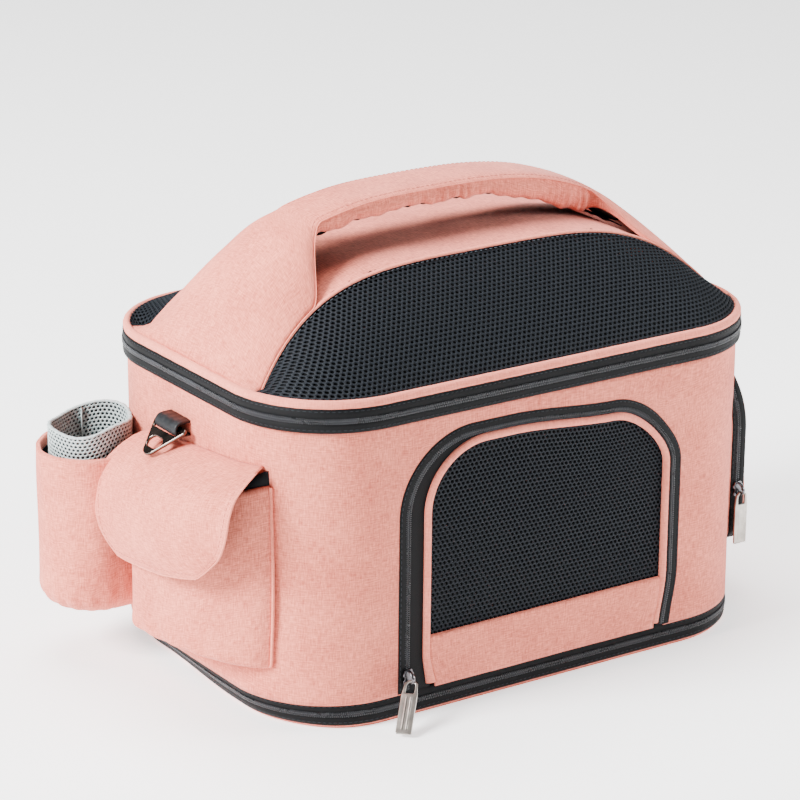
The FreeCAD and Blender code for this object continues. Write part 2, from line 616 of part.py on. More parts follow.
def end_pocket_nodes():
    """The zipped pocket on the right end: side wall, zip and front panel."""
    outside, level = "body_length / 2 + end_out", "end_zip_level"
    block = wall_block("end_wall_block")
    near = end_band("end_gusset_in", "0", "body_length / 2 - 15", f"{level} - end_zip_width")
    inner = cut("end_gusset_trim", near, block)
    outer = end_band("end_gusset_out", "0", f"{level} + end_zip_width", f"{outside} - cloth")
    keep(fuse("end_gusset_both", inner, outer), "end_pocket_gusset")
    tape = end_band("end_tape", "0", f"{level} - end_zip_width", f"{level} + end_zip_width")
    keep(tape, "end_pocket_zip_tape")
    keep(end_band("end_teeth", "coil", f"{level} - 1.5", f"{level} + 1.5"), "end_pocket_zip_coil")
    keep(end_arch("end_panel", "0", f"{outside} - cloth", outside), "end_pocket_panel")


def zip_slider(name, spot, heading):
    """A slider on a zip: a flat body with an arched bail.  It faces -Y before it is turned."""
    front = "-coil - gap - slider_plate"
    corner = ("-slider_width / 2", front, "-slider_height / 2")
    body = box(name + "_body", corner, ("slider_width", "slider_plate", "slider_height"))
    corner = ("-bail_width / 2", f"{front} - bail_depth", "-bail_height / 2")
    bail = box(name + "_bail", corner, ("bail_width", "bail_depth", "bail_height"))
    corner = ("-bail_width", f"{front} - bail_depth + bail_wire", "bail_wire - bail_height / 2")
    size = ("2 * bail_width", "bail_depth - bail_wire", "bail_height - 2 * bail_wire")
    hole = box(name + "_hole", corner, size)
    whole = fuse(name + "_whole", body, cut(name + "_loop", bail, hole))
    whole.Placement = Placement(Vector(*spot), Rotation(Vector(0, 0, 1), heading))
    return keep(whole, name)


def zip_pull(name, spot, heading, yaw, swing):
    """A flat pull with a window that links round the bail, hanging from its crossbar."""
    loops = [("pull_width", "pull_length", "pull_radius")]
    at = ("0", "crossbar / 2", "crossbar / 2 - pull_length")
    blank = padded_body(name + "_blank", "XZ_Plane", arch_loop, loops, "crossbar", at)
    loops = [("pull_window", "window_height", "window_radius")]
    at = ("0", "1.5 * crossbar", "-crossbar / 2 - window_height")
    window = padded_body(name + "_window", "XZ_Plane", arch_loop, loops, "3 * crossbar", at)
    whole = cut(name + "_whole", blank, window)
    out = value("coil + gap + slider_plate + crossbar_out")
    turn = Rotation(Vector(0, 0, 1), heading)
    pivot = Vector(*spot) + turn.multVec(Vector(0, -out, -value("crossbar_drop")))
    tilt = Rotation(Vector(0, 0, 1), -yaw) * Rotation(Vector(1, 0, 0), -swing)
    whole.Placement = Placement(pivot, turn * tilt)
    return keep(whole, name)


def zip_nodes():
    """Each zip's slider and pull, where they are when the bag is closed."""
    front, end = -value("body_depth / 2"), value("body_length / 2")
    side = -value("end_width / 2")
    low, high = value("low_coil_level"), value("top_coil_level")
    zips = [
        ("door", (value("door_slider_x"), front, value("door_slider_z")), 0,
         value("door_pull_yaw"), value("door_pull_swing")),
        ("lid", (end + value("top_band_proud"), value("lid_slider_y"), high), 90, 0, 0),
        ("base", (end - value("low_band_inset"), value("base_slider_y"), low),
         90, 0, value("base_pull_swing")),
        ("end", (value("end_zip_level"), side, value("end_slider_z")), 0, 0, 0),
    ]
    for name, spot, heading, yaw, swing in zips:
        zip_slider(name + "_zip_slider", spot, heading)
        zip_pull(name + "_zip_pull", spot, heading, yaw, swing)


def export():
    doc.recompute()
    for item in doc.Objects:
        bad = [flag for flag in item.State if flag in ("Invalid", "Error")]
        if bad:
            raise RuntimeError(f"{item.Name} failed: {item.State}")
    os.makedirs("parts", exist_ok=True)
    for item in nodes:
        shape = item.Shape
        if shape.isNull() or not shape.isValid() or not shape.Solids:
            raise RuntimeError(f"{item.Label} has no valid solid")
        shape.exportStep(f"parts/{item.Label}.step")


base_nodes()
wall_nodes()
door_nodes()
lid_nodes()
pocket_nodes()
flap_nodes()
ring_nodes()
end_pocket_nodes()
zip_nodes()
export()
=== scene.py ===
import math

import bpy
import numpy as np
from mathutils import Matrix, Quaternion, Vector


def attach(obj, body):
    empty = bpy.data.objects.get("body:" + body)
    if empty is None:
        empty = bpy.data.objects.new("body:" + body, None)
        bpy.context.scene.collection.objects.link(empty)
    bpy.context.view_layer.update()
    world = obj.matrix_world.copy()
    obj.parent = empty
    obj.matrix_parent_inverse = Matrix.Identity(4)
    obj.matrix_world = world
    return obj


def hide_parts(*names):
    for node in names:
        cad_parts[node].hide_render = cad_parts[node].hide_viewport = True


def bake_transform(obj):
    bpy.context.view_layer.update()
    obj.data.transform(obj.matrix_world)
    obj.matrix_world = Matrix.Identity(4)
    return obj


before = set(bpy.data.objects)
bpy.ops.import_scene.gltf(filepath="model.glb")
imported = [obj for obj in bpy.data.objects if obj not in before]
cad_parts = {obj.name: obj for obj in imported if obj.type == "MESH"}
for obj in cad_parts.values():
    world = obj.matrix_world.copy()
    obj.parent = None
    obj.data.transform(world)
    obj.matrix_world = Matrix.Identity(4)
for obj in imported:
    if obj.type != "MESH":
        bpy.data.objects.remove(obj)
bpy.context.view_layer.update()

# All shapes below are worked out in millimetres in the frame of the part: +X along the bag
# towards the zipped pocket, +Y to the back, +Z up, and scaled to metres when a mesh is made.
MM = 0.001
HALF_LENGTH, HALF_DEPTH, CORNER = 210.0, 138.0, 75.0
LOW_COIL, WALL_BOTTOM, WALL_TOP, TOP_COIL = 10.5, 18.0, 221.0, 229.0
BAND_TOP, RIM_TOP = 237.4, 243.0
ROOF_RISE, ROOF_REACH, ROOF_HALF, SEAM_FLARE = 63.5, 198.0, 60.0, 19.4
REAR_REACH, HANDLE_RISE, HANDLE_PEAK, HANDLE_END = 191.0, 106.0, -25.0, 207.0
BOTTLE_X, BOTTLE_Y, BOTTLE_RADIUS = -237.0, 90.0, 37.6
TAB_X, TAB_Y, TAB_Z = 217.0, 10.0, 193.0
HINGE_HALF = 108.0
DOOR_WIDTH, DOOR_TOP, DOOR_RADIUS, DOOR_SHIFT = 244.0, 207.0, 58.0, 4.5
LID_END = 204.0
END_COIL, END_FACE = 221.5, 229.2

# The camera turns about a point inside the bag (metres and degrees).
CAMERA_TARGET, CAMERA_DISTANCE = (-0.02015, 0.0138, 0.1728), 2.7179
CAMERA_AZIMUTH, CAMERA_ELEVATION, CAMERA_ROLL = -34.42, 19.40, 0.64
CAMERA_LENS, CAMERA_SENSOR = 166.66, 36.0

# Each soft light: name, place, the point it faces, diameter (metres) and power (watts).
LIGHTS = (("left", (-2.6, 0.25, 1.8), (0.0, 0.0, 0.1), 1.3, 360.0),
          ("right", (1.0, -0.64, 0.58), (0.15, 0.0, 0.1), 0.6, 17.5),
          ("top", (0.1, 0.75, 2.8), (0.0, 0.0, 0.1), 2.0, 120.0))
WORLD_STRENGTH, FLOOR_GLOW = 0.2, 1.0
FLOOR_REACH, FLOOR_LEVEL = 12.0, -0.0006


# ---------------------------------------------------------------- camera, light and floor

def make_camera():
    """The camera of the reference view: low, from the front left, with a long lens."""
    azimuth, elevation = math.radians(CAMERA_AZIMUTH), math.radians(CAMERA_ELEVATION)
    back = Vector((math.sin(azimuth) * math.cos(elevation),
                   -math.cos(azimuth) * math.cos(elevation), math.sin(elevation)))
    data = bpy.data.cameras.new("camera")
    data.lens, data.sensor_width = CAMERA_LENS, CAMERA_SENSOR
    data.clip_start, data.clip_end = 0.1, 50.0
    camera = bpy.data.objects.new("camera", data)
    bpy.context.scene.collection.objects.link(camera)
    camera.location = Vector(CAMERA_TARGET) + back * CAMERA_DISTANCE
    camera.rotation_mode = "QUATERNION"
    turn = Quaternion((0.0, 0.0, 1.0), math.radians(CAMERA_ROLL))
    camera.rotation_quaternion = (-back).to_track_quat("-Z", "Y") @ turn
    bpy.context.scene.camera = camera


def area_light(name, spot, target, size, power):
    """A round soft light, turned to face a point."""
    data = bpy.data.lights.new(name, "AREA")
    data.shape, data.size, data.energy = "DISK", size, power
    lamp = bpy.data.objects.new(name, data)
    bpy.context.scene.collection.objects.link(lamp)
    lamp.location = spot
    lamp.rotation_euler = (Vector(target) - Vector(spot)).to_track_quat("-Z", "Y").to_euler()


def make_studio():
    """A pale floor under soft light from the left and above."""
    world = bpy.data.worlds.new("studio")
    world.use_nodes = True
    background = world.node_tree.nodes["Background"]
    background.inputs["Color"].default_value = (1.0, 1.0, 1.0, 1.0)
    background.inputs["Strength"].default_value = WORLD_STRENGTH
    bpy.context.scene.world = world
    for light in LIGHTS:
        area_light(*light)
    mesh = bpy.data.meshes.new("floor")
    corners = [(x * FLOOR_REACH, y * FLOOR_REACH, 0) for x, y in ((-1, -1), (1, -1), (1, 1), (-1, 1))]
    mesh.from_pydata(corners, [], [(0, 1, 2, 3)])
    floor = bpy.data.objects.new("floor", mesh)
    floor.location.z = FLOOR_LEVEL
    bpy.context.scene.collection.objects.link(floor)
    material = bpy.data.materials.new("floor_paper")
    material.use_nodes = True
    shader = material.node_tree.nodes["Principled BSDF"]
    shader.inputs["Base Color"].default_value = (0.93, 0.93, 0.93, 1.0)
    shader.inputs["Emission Color"].default_value = (1.0, 1.0, 1.0, 1.0)
    shader.inputs["Emission Strength"].default_value = FLOOR_GLOW
    shader.inputs["Roughness"].default_value = 0.7
    mesh.materials.append(material)


# ---------------------------------------------------------------- materials

class Nodes:
    """Short calls for building one material's node tree."""

    def __init__(self, name):
        self.material = bpy.data.materials.new(name)
        self.material.use_nodes = True
        self.tree = self.material.node_tree
        self.shader = self.tree.nodes["Principled BSDF"]

    def feed(self, socket, entry):
        """Links an output to a socket, or gives the socket a value."""
        if isinstance(entry, bpy.types.NodeSocket):
            self.tree.links.new(entry, socket)
        else:
            socket.default_value = entry

    def base(self, factor, stops):
        """The base colour: a ramp between linear colours, by a factor."""
        node = self.tree.nodes.new("ShaderNodeValToRGB")
        self.feed(node.inputs["Fac"], factor)
        while len(node.color_ramp.elements) < len(stops):
            node.color_ramp.elements.new(0.5)
        for element, (spot, colour) in zip(node.color_ramp.elements, stops):
            element.position = spot
            element.color = (*colour, 1.0)
        self.feed(self.shader.inputs["Base Color"], node.outputs["Color"])

    def math(self, operation, first, second=0.0, third=0.0):
        """One sum on fields or numbers."""
        node = self.tree.nodes.new("ShaderNodeMath")
        node.operation = operation
        for socket, entry in zip(node.inputs, (first, second, third)):
            self.feed(socket, entry)
        return node.outputs[0]

    def place(self, scale, layer="", turn=0.0):
        """The surface position in metres, scaled: from the named UV layer, or the object's own space."""
        mapping = self.tree.nodes.new("ShaderNodeMapping")
        if layer:
            uv = self.tree.nodes.new("ShaderNodeUVMap")
            uv.uv_map = layer
            self.feed(mapping.inputs["Vector"], uv.outputs[0])
        else:
            spot = self.tree.nodes.new("ShaderNodeTexCoord")
            self.feed(mapping.inputs["Vector"], spot.outputs["Object"])
        mapping.inputs["Scale"].default_value = scale
        mapping.inputs["Rotation"].default_value = (0.0, 0.0, turn)
        return mapping.outputs[0]

    def noise(self, scale, detail, rough, layer=""):
        """Noise at so many cycles a metre along each axis."""
        node = self.tree.nodes.new("ShaderNodeTexNoise")
        self.feed(node.inputs["Vector"], self.place(scale, layer))
        node.inputs["Scale"].default_value = 1.0
        node.inputs["Detail"].default_value = detail
        node.inputs["Roughness"].default_value = rough
        return node.outputs["Fac"]

    def wave(self, vector, period, direction="X"):
        """Fine ridges this many metres apart, along one direction of an unscaled position."""
        node = self.tree.nodes.new("ShaderNodeTexWave")
        node.bands_direction = direction
        self.feed(node.inputs["Vector"], vector)
        node.inputs["Scale"].default_value = math.pi / (10.0 * period)
        return node.outputs["Fac"]

    def bump(self, height, strength, distance):
        """Relief from a height, by so many metres."""
        node = self.tree.nodes.new("ShaderNodeBump")
        node.inputs["Strength"].default_value = strength
        node.inputs["Distance"].default_value = distance
        self.feed(node.inputs["Height"], height)
        self.feed(self.shader.inputs["Normal"], node.outputs["Normal"])

    def surface(self, roughness, specular, sheen=0.0):
        """An even gloss for cloth and yarn."""
        self.shader.inputs["Roughness"].default_value = roughness
        self.shader.inputs["Sheen Weight"].default_value = sheen
        self.shader.inputs["Sheen Roughness"].default_value = 0.5
        self.shader.inputs["Specular IOR Level"].default_value = specular


def linear(red, green, blue):
    """A screen colour, 0 to 255, as the shader wants it."""
    parts = [channel / 255.0 for channel in (red, green, blue)]
    return tuple(c / 12.92 if c <= 0.04045 else ((c + 0.055) / 1.055) ** 2.4 for c in parts)


def melange(name, light, dark, thread=0.00085):
    """Oxford cloth of mixed yarns: slubs along and across, over a fine plain weave."""
    make = Nodes(name)
    along = make.noise((150.0, 1150.0, 1.0), 3.0, 0.62, "weave")
    across = make.noise((1150.0, 150.0, 1.0), 3.0, 0.62, "weave")
    patches = make.math("MULTIPLY", make.noise((26.0, 26.0, 26.0), 2.0, 0.5, "weave"), 0.16)
    yarn = make.math("MULTIPLY_ADD", make.math("ADD", along, across), 0.42, patches)
    middle = tuple((a + b) / 2 for a, b in zip(light, dark))
    make.base(yarn, [(0.39, dark), (0.5, middle), (0.61, light)])
    spot = make.place((1.0, 1.0, 1.0), "weave")
    weave = make.math("MULTIPLY", make.wave(spot, thread, "X"), make.wave(spot, thread, "Y"))
    make.bump(make.math("ADD", make.math("MULTIPLY", weave, 0.6), yarn), 0.55, 0.00022)
    make.surface(0.86, 0.3, sheen=0.12)
    return make.material


def twill(name, colour, lighter, thread=0.0009):
    """Black woven tape with diagonal ridges."""
    make = Nodes(name)
    ridges = make.wave(make.place((1.0, 1.0, 1.0), "weave", math.radians(45)), thread, "X")
    fibre = make.noise((700.0, 2400.0, 1.0), 3.0, 0.6, "weave")
    make.base(fibre, [(0.3, colour), (0.72, lighter)])
    make.bump(make.math("ADD", ridges, make.math("MULTIPLY", fibre, 0.7)), 0.6, 0.00016)
    make.surface(0.55, 0.11)
    return make.material


def knit(name, colour, lighter, roughness=0.6, grain=1600.0):
    """Yarn of a net or of a brushed cloth: soft, fibrous, with small changes of tone."""
    make = Nodes(name)
    fibre = make.noise((grain, grain, grain), 3.0, 0.6)
    make.base(fibre, [(0.32, colour), (0.7, lighter)])
    make.bump(fibre, 0.5, 0.0002)
    make.surface(roughness, 0.14)
    return make.material


def plastic(name, colour, lighter, roughness, grain):
    """Moulded plastic or hard board with a fine grain."""
    make = Nodes(name)
    haze = make.noise((60.0, 60.0, 60.0), 3.0, 0.6)
    pits = make.noise((grain, grain, grain), 2.0, 0.5)
    make.base(haze, [(0.3, colour), (0.7, lighter)])
    make.feed(make.shader.inputs["Roughness"], make.math("MULTIPLY_ADD", haze, 0.16, roughness - 0.08))
    make.bump(pits, 0.4, 0.00008)
    make.shader.inputs["Specular IOR Level"].default_value = 0.5
    return make.material


def metal(name, colour, darker, roughness, brush=0.0):
    """Plated die casting, satin or polished, with faint clouding and fine brush lines."""
    make = Nodes(name)
    cloud = make.noise((90.0, 90.0, 90.0), 3.0, 0.55)
    lines = make.noise((2600.0, 2600.0, 110.0), 2.0, 0.5)
    make.base(cloud, [(0.3, darker), (0.65, colour)])
    make.feed(make.shader.inputs["Roughness"], make.math("MULTIPLY_ADD", cloud, 0.12, roughness - 0.06))
    make.bump(make.math("ADD", lines, make.math("MULTIPLY", cloud, 0.4)), 0.15 + brush, 0.00005)
    make.shader.inputs["Metallic"].default_value = 1.0
    return make.material


def smooth_strap(name, colour, lighter):
    """Black coated strap, nearly smooth, with a fine leathery grain."""
    make = Nodes(name)
    cells = make.tree.nodes.new("ShaderNodeTexVoronoi")
    make.feed(cells.inputs["Vector"], make.place((1500.0, 1500.0, 1500.0)))
    cells.inputs["Scale"].default_value = 1.0
    wear = make.noise((120.0, 120.0, 120.0), 3.0, 0.6)
    make.base(wear, [(0.35, colour), (0.75, lighter)])
    make.feed(make.shader.inputs["Roughness"], make.math("MULTIPLY_ADD", wear, 0.2, 0.4))
    make.bump(cells.outputs["Distance"], 0.35, 0.00012)
    make.shader.inputs["Specular IOR Level"].default_value = 0.28
    return make.material


PINK = melange("pink_oxford", linear(238, 136, 113), linear(182, 86, 69))
PINK_TRIM = melange("pink_piping", linear(240, 140, 118), linear(208, 108, 88), 0.0007)
BLACK_TAPE = twill("black_zip_tape", linear(4, 4, 5), linear(13, 14, 16))
BLACK_NET = knit("black_net", linear(8, 11, 15), linear(25, 30, 37), 0.6)
BACK_NET = knit("black_net_back", linear(5, 6, 7), linear(12, 13, 15), 0.8)
GREY_NET = knit("grey_net", linear(142, 152, 153), linear(196, 206, 205), 0.7)
GREY_CORE = knit("grey_net_core", linear(58, 62, 64), linear(88, 93, 95), 0.85)
LINING = twill("black_lining", linear(10, 11, 13), linear(22, 24, 27), 0.0006)
COIL = plastic("zip_teeth", linear(18, 19, 22), linear(40, 42, 48), 0.28, 1500.0)
BOARD = plastic("board", linear(176, 176, 178), linear(196, 196, 198), 0.5, 500.0)
FOAM = knit("foam", linear(120, 122, 126), linear(150, 152, 156), 0.9, 900.0)
STRAP = smooth_strap("black_strap", linear(10, 11, 13), linear(26, 28, 32))
# Pink thread, coloured darker than the cloth: painted shade in and beside the stitches.
SHADE_DARKENED_THREAD = knit("pink_thread_painted_shade", linear(168, 92, 82), linear(206, 122, 108), 0.6, 2600.0)
DARK_THREAD = knit("dark_thread", linear(24, 27, 31), linear(46, 50, 56), 0.5, 2600.0)
MESH_THREAD = knit("mesh_thread", linear(58, 66, 74), linear(98, 106, 114), 0.5, 2600.0)
PLUSH = knit("mat_plush", linear(126, 130, 136), linear(172, 176, 182), 0.95, 900.0)
TOUCH = knit("touch_fastener", linear(26, 27, 29), linear(56, 58, 62), 0.9, 1900.0)
SATIN = metal("satin_nickel", linear(186, 180, 172), linear(140, 134, 127), 0.3, 0.2)
GUNMETAL = metal("gunmetal", linear(122, 108, 100), linear(66, 58, 55), 0.2)
CASTING = metal("dark_casting", linear(118, 116, 119), linear(62, 61, 65), 0.26)
STEEL = metal("spring_steel", linear(190, 190, 192), linear(150, 150, 154), 0.3, 0.2)

# The name of the material slot for each cloth, net or metal.
SLOTS = {PINK: "pink_cloth", PINK_TRIM: "pink_cloth", BLACK_TAPE: "zip_tape", BLACK_NET: "black_mesh",
         BACK_NET: "black_mesh", GREY_NET: "grey_mesh", GREY_CORE: "grey_mesh", LINING: "lining_cloth",
         COIL: "zip_teeth", BOARD: "board", FOAM: "foam", STRAP: "webbing", TOUCH: "touch_fastener",
         SATIN: "bright_metal", GUNMETAL: "gunmetal", CASTING: "slider_metal"}


# ---------------------------------------------------------------- mesh helpers

def new_piece(name, points, faces, material, body, uv=None, replaces=(), slot=""):
    """A mesh from points in millimetres, riding on a body. The slot worked out from its material or the one
    named is not used.
    """
    mesh = bpy.data.meshes.new(name)
    corners = (np.asarray(points, float).reshape(-1, 3) * MM).tolist()
    mesh.from_pydata(corners, [], [list(face) for face in faces])
    mesh.materials.append(material)
    if uv is not None:
        layer = mesh.uv_layers.new(name="weave")
        corners = np.zeros(len(mesh.loops), dtype=np.int32)
        mesh.loops.foreach_get("vertex_index", corners)
        flat = np.asarray(uv, float).reshape(-1, 2)[corners] * MM
        layer.data.foreach_set("uv", flat.astype(np.float32).ravel())
    mesh.polygons.foreach_set("use_smooth", [True] * len(mesh.polygons))
    mesh.update()
    item = bpy.data.objects.new(name, mesh)
    bpy.context.scene.collection.objects.link(item)
    if body:
        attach(item, body)
        slot = slot or SLOTS.get(material)
    if replaces:
        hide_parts(*replaces)
    return item


def grid_faces(rows, columns):
    """The four-sided faces between the points of a grid."""
    return [(i * columns + j, (i + 1) * columns + j, (i + 1) * columns + j + 1, i * columns + j + 1)
            for i in range(rows - 1) for j in range(columns - 1)]


def closed_grid(grid):
    """A grid with its first column repeated at the end, so that its rows are rings."""
    return np.concatenate([grid, grid[:, :1]], axis=1)


def flat_disc(rim, count, level):
    """A level disc as a grid of rings: shrunken copies of its rim."""
    rings = np.linspace(1.0, 0.0, count)[:, None, None] * rim[None, :, :]
    return closed_grid(np.concatenate([rings, np.full(rings.shape[:2] + (1,), level)], axis=2))


def oval(wide, high, sides, lift=0.0):
    """The cross-section of a cord or a soft roll."""
    turns = np.linspace(0, 2 * math.pi, sides + 1)[:-1]
    return [(wide * math.cos(angle), high * math.sin(angle) + lift) for angle in turns]


def cumulative(path):
    """The length along a path at each of its points."""
    return np.concatenate([[0.0], np.cumsum(np.linalg.norm(np.diff(path, axis=0), axis=1))])


def even(path, count):
    """A path again, as this many evenly spaced points."""
    lengths = cumulative(path)
    spots = np.linspace(0, lengths[-1], count)
    return np.stack([np.interp(spots, lengths, path[:, k]) for k in range(path.shape[1])], axis=1)


def outwards(points, x, y):
    """Level directions from an upright axis to each point."""
    away = (points - (x, y, 0.0)) * (1, 1, 0)
    return away / np.linalg.norm(away, axis=1)[:, None]


def grid_uv(points):
    """Arc length along the rows and across them, in millimetres, for each point of a grid."""
    along = np.linalg.norm(np.diff(points, axis=0), axis=2).mean(axis=1)
    across = np.linalg.norm(np.diff(points, axis=1), axis=2)
    uv = np.zeros(points.shape[:2] + (2,))
    uv[1:, :, 0] = np.cumsum(along)[:, None]
    uv[:, 1:, 1] = np.cumsum(across, axis=1)
    return uv


def sheet_piece(name, points, material, body, replaces=(), thick=0.0, closed=False, drop=None, offset=-1.0):
    """A cloth surface from a grid of points, thickened away from the side its normals show."""
    points = np.asarray(points, float)
    if closed:
        points = np.concatenate([points, points[:1]])
    faces = grid_faces(*points.shape[:2])
    if drop is not None:
        flat = points.reshape(-1, 3)
        faces = [face for face in faces if not drop(flat[list(face)].mean(axis=0))]
    item = new_piece(name, points, faces, material, body, grid_uv(points), replaces)
    if thick:
        thicken(item, thick, offset)
    return item


def thicken(item, thick, offset=-1.0):
    """Gives a sheet its thickness: inwards at offset -1, both ways at 0, outwards at 1."""
    skin = item.modifiers.new("thickness", "SOLIDIFY")
    skin.thickness, skin.offset = thick * MM, offset
    skin.use_even_offset = False


class Outline:
    """Points and outward normals of a flat outline made of straights and quarter bends."""

    def __init__(self, step, fewest):
        self.step, self.fewest, self.points, self.normals = step, fewest, [], []

    def straight(self, start, end, normal, last=False):
        """A straight side; its end point belongs to the next side unless it is the last."""
        count = max(2, int(math.dist(start, end) / self.step))
        for k in range(count + last):
            t = k / count
            self.points.append((start[0] + (end[0] - start[0]) * t, start[1] + (end[1] - start[1]) * t))
            self.normals.append(normal)

    def bend(self, centre, radius, first, turn):
        """A quarter circle from a first angle, counterclockwise for turn 1 and clockwise for -1."""
        count = max(self.fewest, int(radius * math.pi / 2 / self.step))
        for k in range(count):
            angle = first + turn * math.pi / 2 * k / count
            normal = (math.cos(angle), math.sin(angle))
            self.normals.append(normal)
            self.points.append((centre[0] + radius * normal[0], centre[1] + radius * normal[1]))

    def arrays(self):
        """The points and the normals."""
        return np.array(self.points), np.array(self.normals)


def round_plan(inset, step=5.0):
    """Points and outward normals round the bag, counterclockwise from the middle of the back."""
    a, b, r = HALF_LENGTH - CORNER, HALF_DEPTH - CORNER, CORNER - inset
    plan = Outline(step, 6)
    plan.straight((0, b + r), (-a, b + r), (0, 1))
    plan.bend((-a, b), r, math.pi / 2, 1)
    plan.straight((-a - r, b), (-a - r, -b), (-1, 0))
    plan.bend((-a, -b), r, math.pi, 1)
    plan.straight((-a, -b - r), (a, -b - r), (0, -1))
    plan.bend((a, -b), r, -math.pi / 2, 1)
    plan.straight((a + r, -b), (a + r, b), (1, 0))
    plan.bend((a, b), r, 0.0, 1)
    plan.straight((a, b + r), (0, b + r), (0, 1))
    return plan.arrays()


def arch_path(width, top, radius, bottom, shift=0.0):
    """Points (across, up) and outward normals of an arch, from its foot on the low side."""
    half = width / 2
    arch = Outline(3.0, 8)
    arch.straight((-half, bottom), (-half, top - radius), (-1, 0))
    arch.bend((radius - half, top - radius), radius, math.pi, -1)
    arch.straight((radius - half, top), (half - radius, top), (0, 1))
    arch.bend((half - radius, top - radius), radius, math.pi / 2, -1)
    arch.straight((half, top - radius), (half, bottom), (1, 0), last=True)
    points, normals = arch.arrays()
    points[:, 0] += shift
    return points, normals


def columns(x, y, z):
    """Points from their x, y and z, each an array or one number for all."""
    return np.stack(np.broadcast_arrays(x, y, z), axis=-1).astype(float)


class Line:
    """A path in space with, at each point, a direction across it and a direction out of the cloth."""

    def __init__(self, points, across, out, closed=False):
        self.points, self.closed = np.asarray(points, float), closed
        self.across = np.broadcast_to(np.asarray(across, float), self.points.shape)
        self.out = np.broadcast_to(np.asarray(out, float), self.points.shape)

    def spaced(self, pitch, start=0.0):
        """The path again at points a fixed distance apart."""
        stack = [self.points, self.across, self.out]
        if self.closed:
            stack = [np.concatenate([part, part[:1]]) for part in stack]
        lengths = cumulative(stack[0])
        spots = np.arange(start + pitch / 2, lengths[-1], pitch)
        parts = [np.stack([np.interp(spots, lengths, part[:, k]) for k in range(3)], axis=1)
                 for part in stack]
        for part in parts[1:]:
            part /= np.linalg.norm(part, axis=1)[:, None]
        return Line(*parts)

    def along(self):
        """The unit direction of the path at each point."""
        ends = np.roll(self.points, -1, axis=0) - np.roll(self.points, 1, axis=0)
        if not self.closed:
            ends[0], ends[-1] = self.points[1] - self.points[0], self.points[-1] - self.points[-2]
        return ends / np.maximum(np.linalg.norm(ends, axis=1)[:, None], 1e-9)

    def shifted(self, across=0.0, out=0.0):
        """The path moved sideways and outwards."""
        return Line(self.points + self.across * across + self.out * out, self.across, self.out, self.closed)


def plan_line(inset, level, out=0.0):
    """The level line round the bag, across direction up, out direction away from the bag."""
    points, normals = round_plan(inset)
    points = points + normals * out
    return Line(columns(*points.T, level), (0.0, 0.0, 1.0), columns(*normals.T, 0.0), closed=True)


def without_back(line):
    """A round-the-bag line with the stretch across the hinge at the back left out."""
    keep = ~((line.points[:, 1] > HALF_DEPTH - 12) & (np.abs(line.points[:, 0]) < HINGE_HALF))
    return Line(line.points[keep], line.across[keep], line.out[keep])


def without_door(line, half):
    """A round-the-bag line with the stretch under the door left out."""
    gap = (line.points[:, 1] < -HALF_DEPTH + 12) & (np.abs(line.points[:, 0] + 4) < half)
    start = int(np.nonzero(gap & ~np.roll(gap, -1))[0][0]) + 1
    kept = ~np.roll(gap, -start)
    return Line(*(np.roll(part, -start, axis=0)[kept] for part in (line.points, line.across, line.out)))


def front_arch(face, *arch):
    """An arch in the front wall: across is outwards in the wall, out is -Y."""
    points, normals = arch_path(*arch)
    return Line(columns(points[:, 0], -HALF_DEPTH - face, points[:, 1]),
                columns(normals[:, 0], 0.0, normals[:, 1]), (0.0, -1.0, 0.0))


def sweep(name, line, profile, material, body, replaces=(), loop=True, waves=0.0, slot=""):
    """A strip with this profile of (across, out) offsets, drawn along a line."""
    profile = np.asarray(profile, float)
    points = (line.points[:, None, :] + line.across[:, None, :] * profile[None, :, 0, None]
              + line.out[:, None, :] * profile[None, :, 1, None])
    if waves:
        run = np.arange(len(points))[:, None]
        points = points + line.out[:, None, :] * (waves * np.sin(run * 1.7 + profile[None, :, 0]))[..., None]
    grid = closed_grid(points) if loop else points
    if line.closed:
        grid = np.concatenate([grid, grid[:1]])
    return welded(name, grid, material, body, replaces, slot)


def welded(name, grid, material, body, replaces=(), slot=""):
    """A piece from a grid whose ends or edges meet, with the doubled points joined."""
    item = new_piece(name, grid, grid_faces(*grid.shape[:2]), material, body, grid_uv(grid), replaces, slot)
    weld(item)
    return item


def weld(item):
    """Joins the doubled seam of a closed grid, keeping its UVs."""
    join = item.modifiers.new("seam", "WELD")
    join.merge_threshold = 0.00001


CAPSULE_RINGS = ((-0.42, 0.55), (-0.25, 0.95), (0.25, 0.95), (0.42, 0.55))


def capsule_shape(sides):
    """A unit capsule along its first axis: length 1, and 2 across before it is scaled."""
    points, faces = [], []
    for spot, radius in CAPSULE_RINGS:
        for k in range(sides):
            angle = 2 * math.pi * k / sides
            points.append((spot, radius * math.cos(angle), radius * math.sin(angle)))
    first, last = len(points), len(points) + 1
    points += [(-0.5, 0, 0), (0.5, 0, 0)]
    rings = len(CAPSULE_RINGS)
    for r in range(rings - 1):
        for k in range(sides):
            a, b = r * sides + k, r * sides + (k + 1) % sides
            faces.append((a, b, b + sides, a + sides))
    for k in range(sides):
        faces.append((first, (k + 1) % sides, k))
        top = (rings - 1) * sides
        faces.append((last, top + k, top + (k + 1) % sides))
    return np.array(points), faces


def scatter(name, shape, spots, first, second, third, size, material, body, replaces=()):
    """One mesh of many small copies of a shape, each turned to its own three directions."""
    template, faces = shape
    local = template * np.asarray(size, float)
    points = (spots[:, None, :] + first[:, None, :] * local[None, :, 0, None]
              + second[:, None, :] * local[None, :, 1, None] + third[:, None, :] * local[None, :, 2, None])
    count = len(template)
    every = [tuple(index + copy * count for index in face) for copy in range(len(spots)) for face in faces]
    return new_piece(name, points, every, material, body, None, replaces)


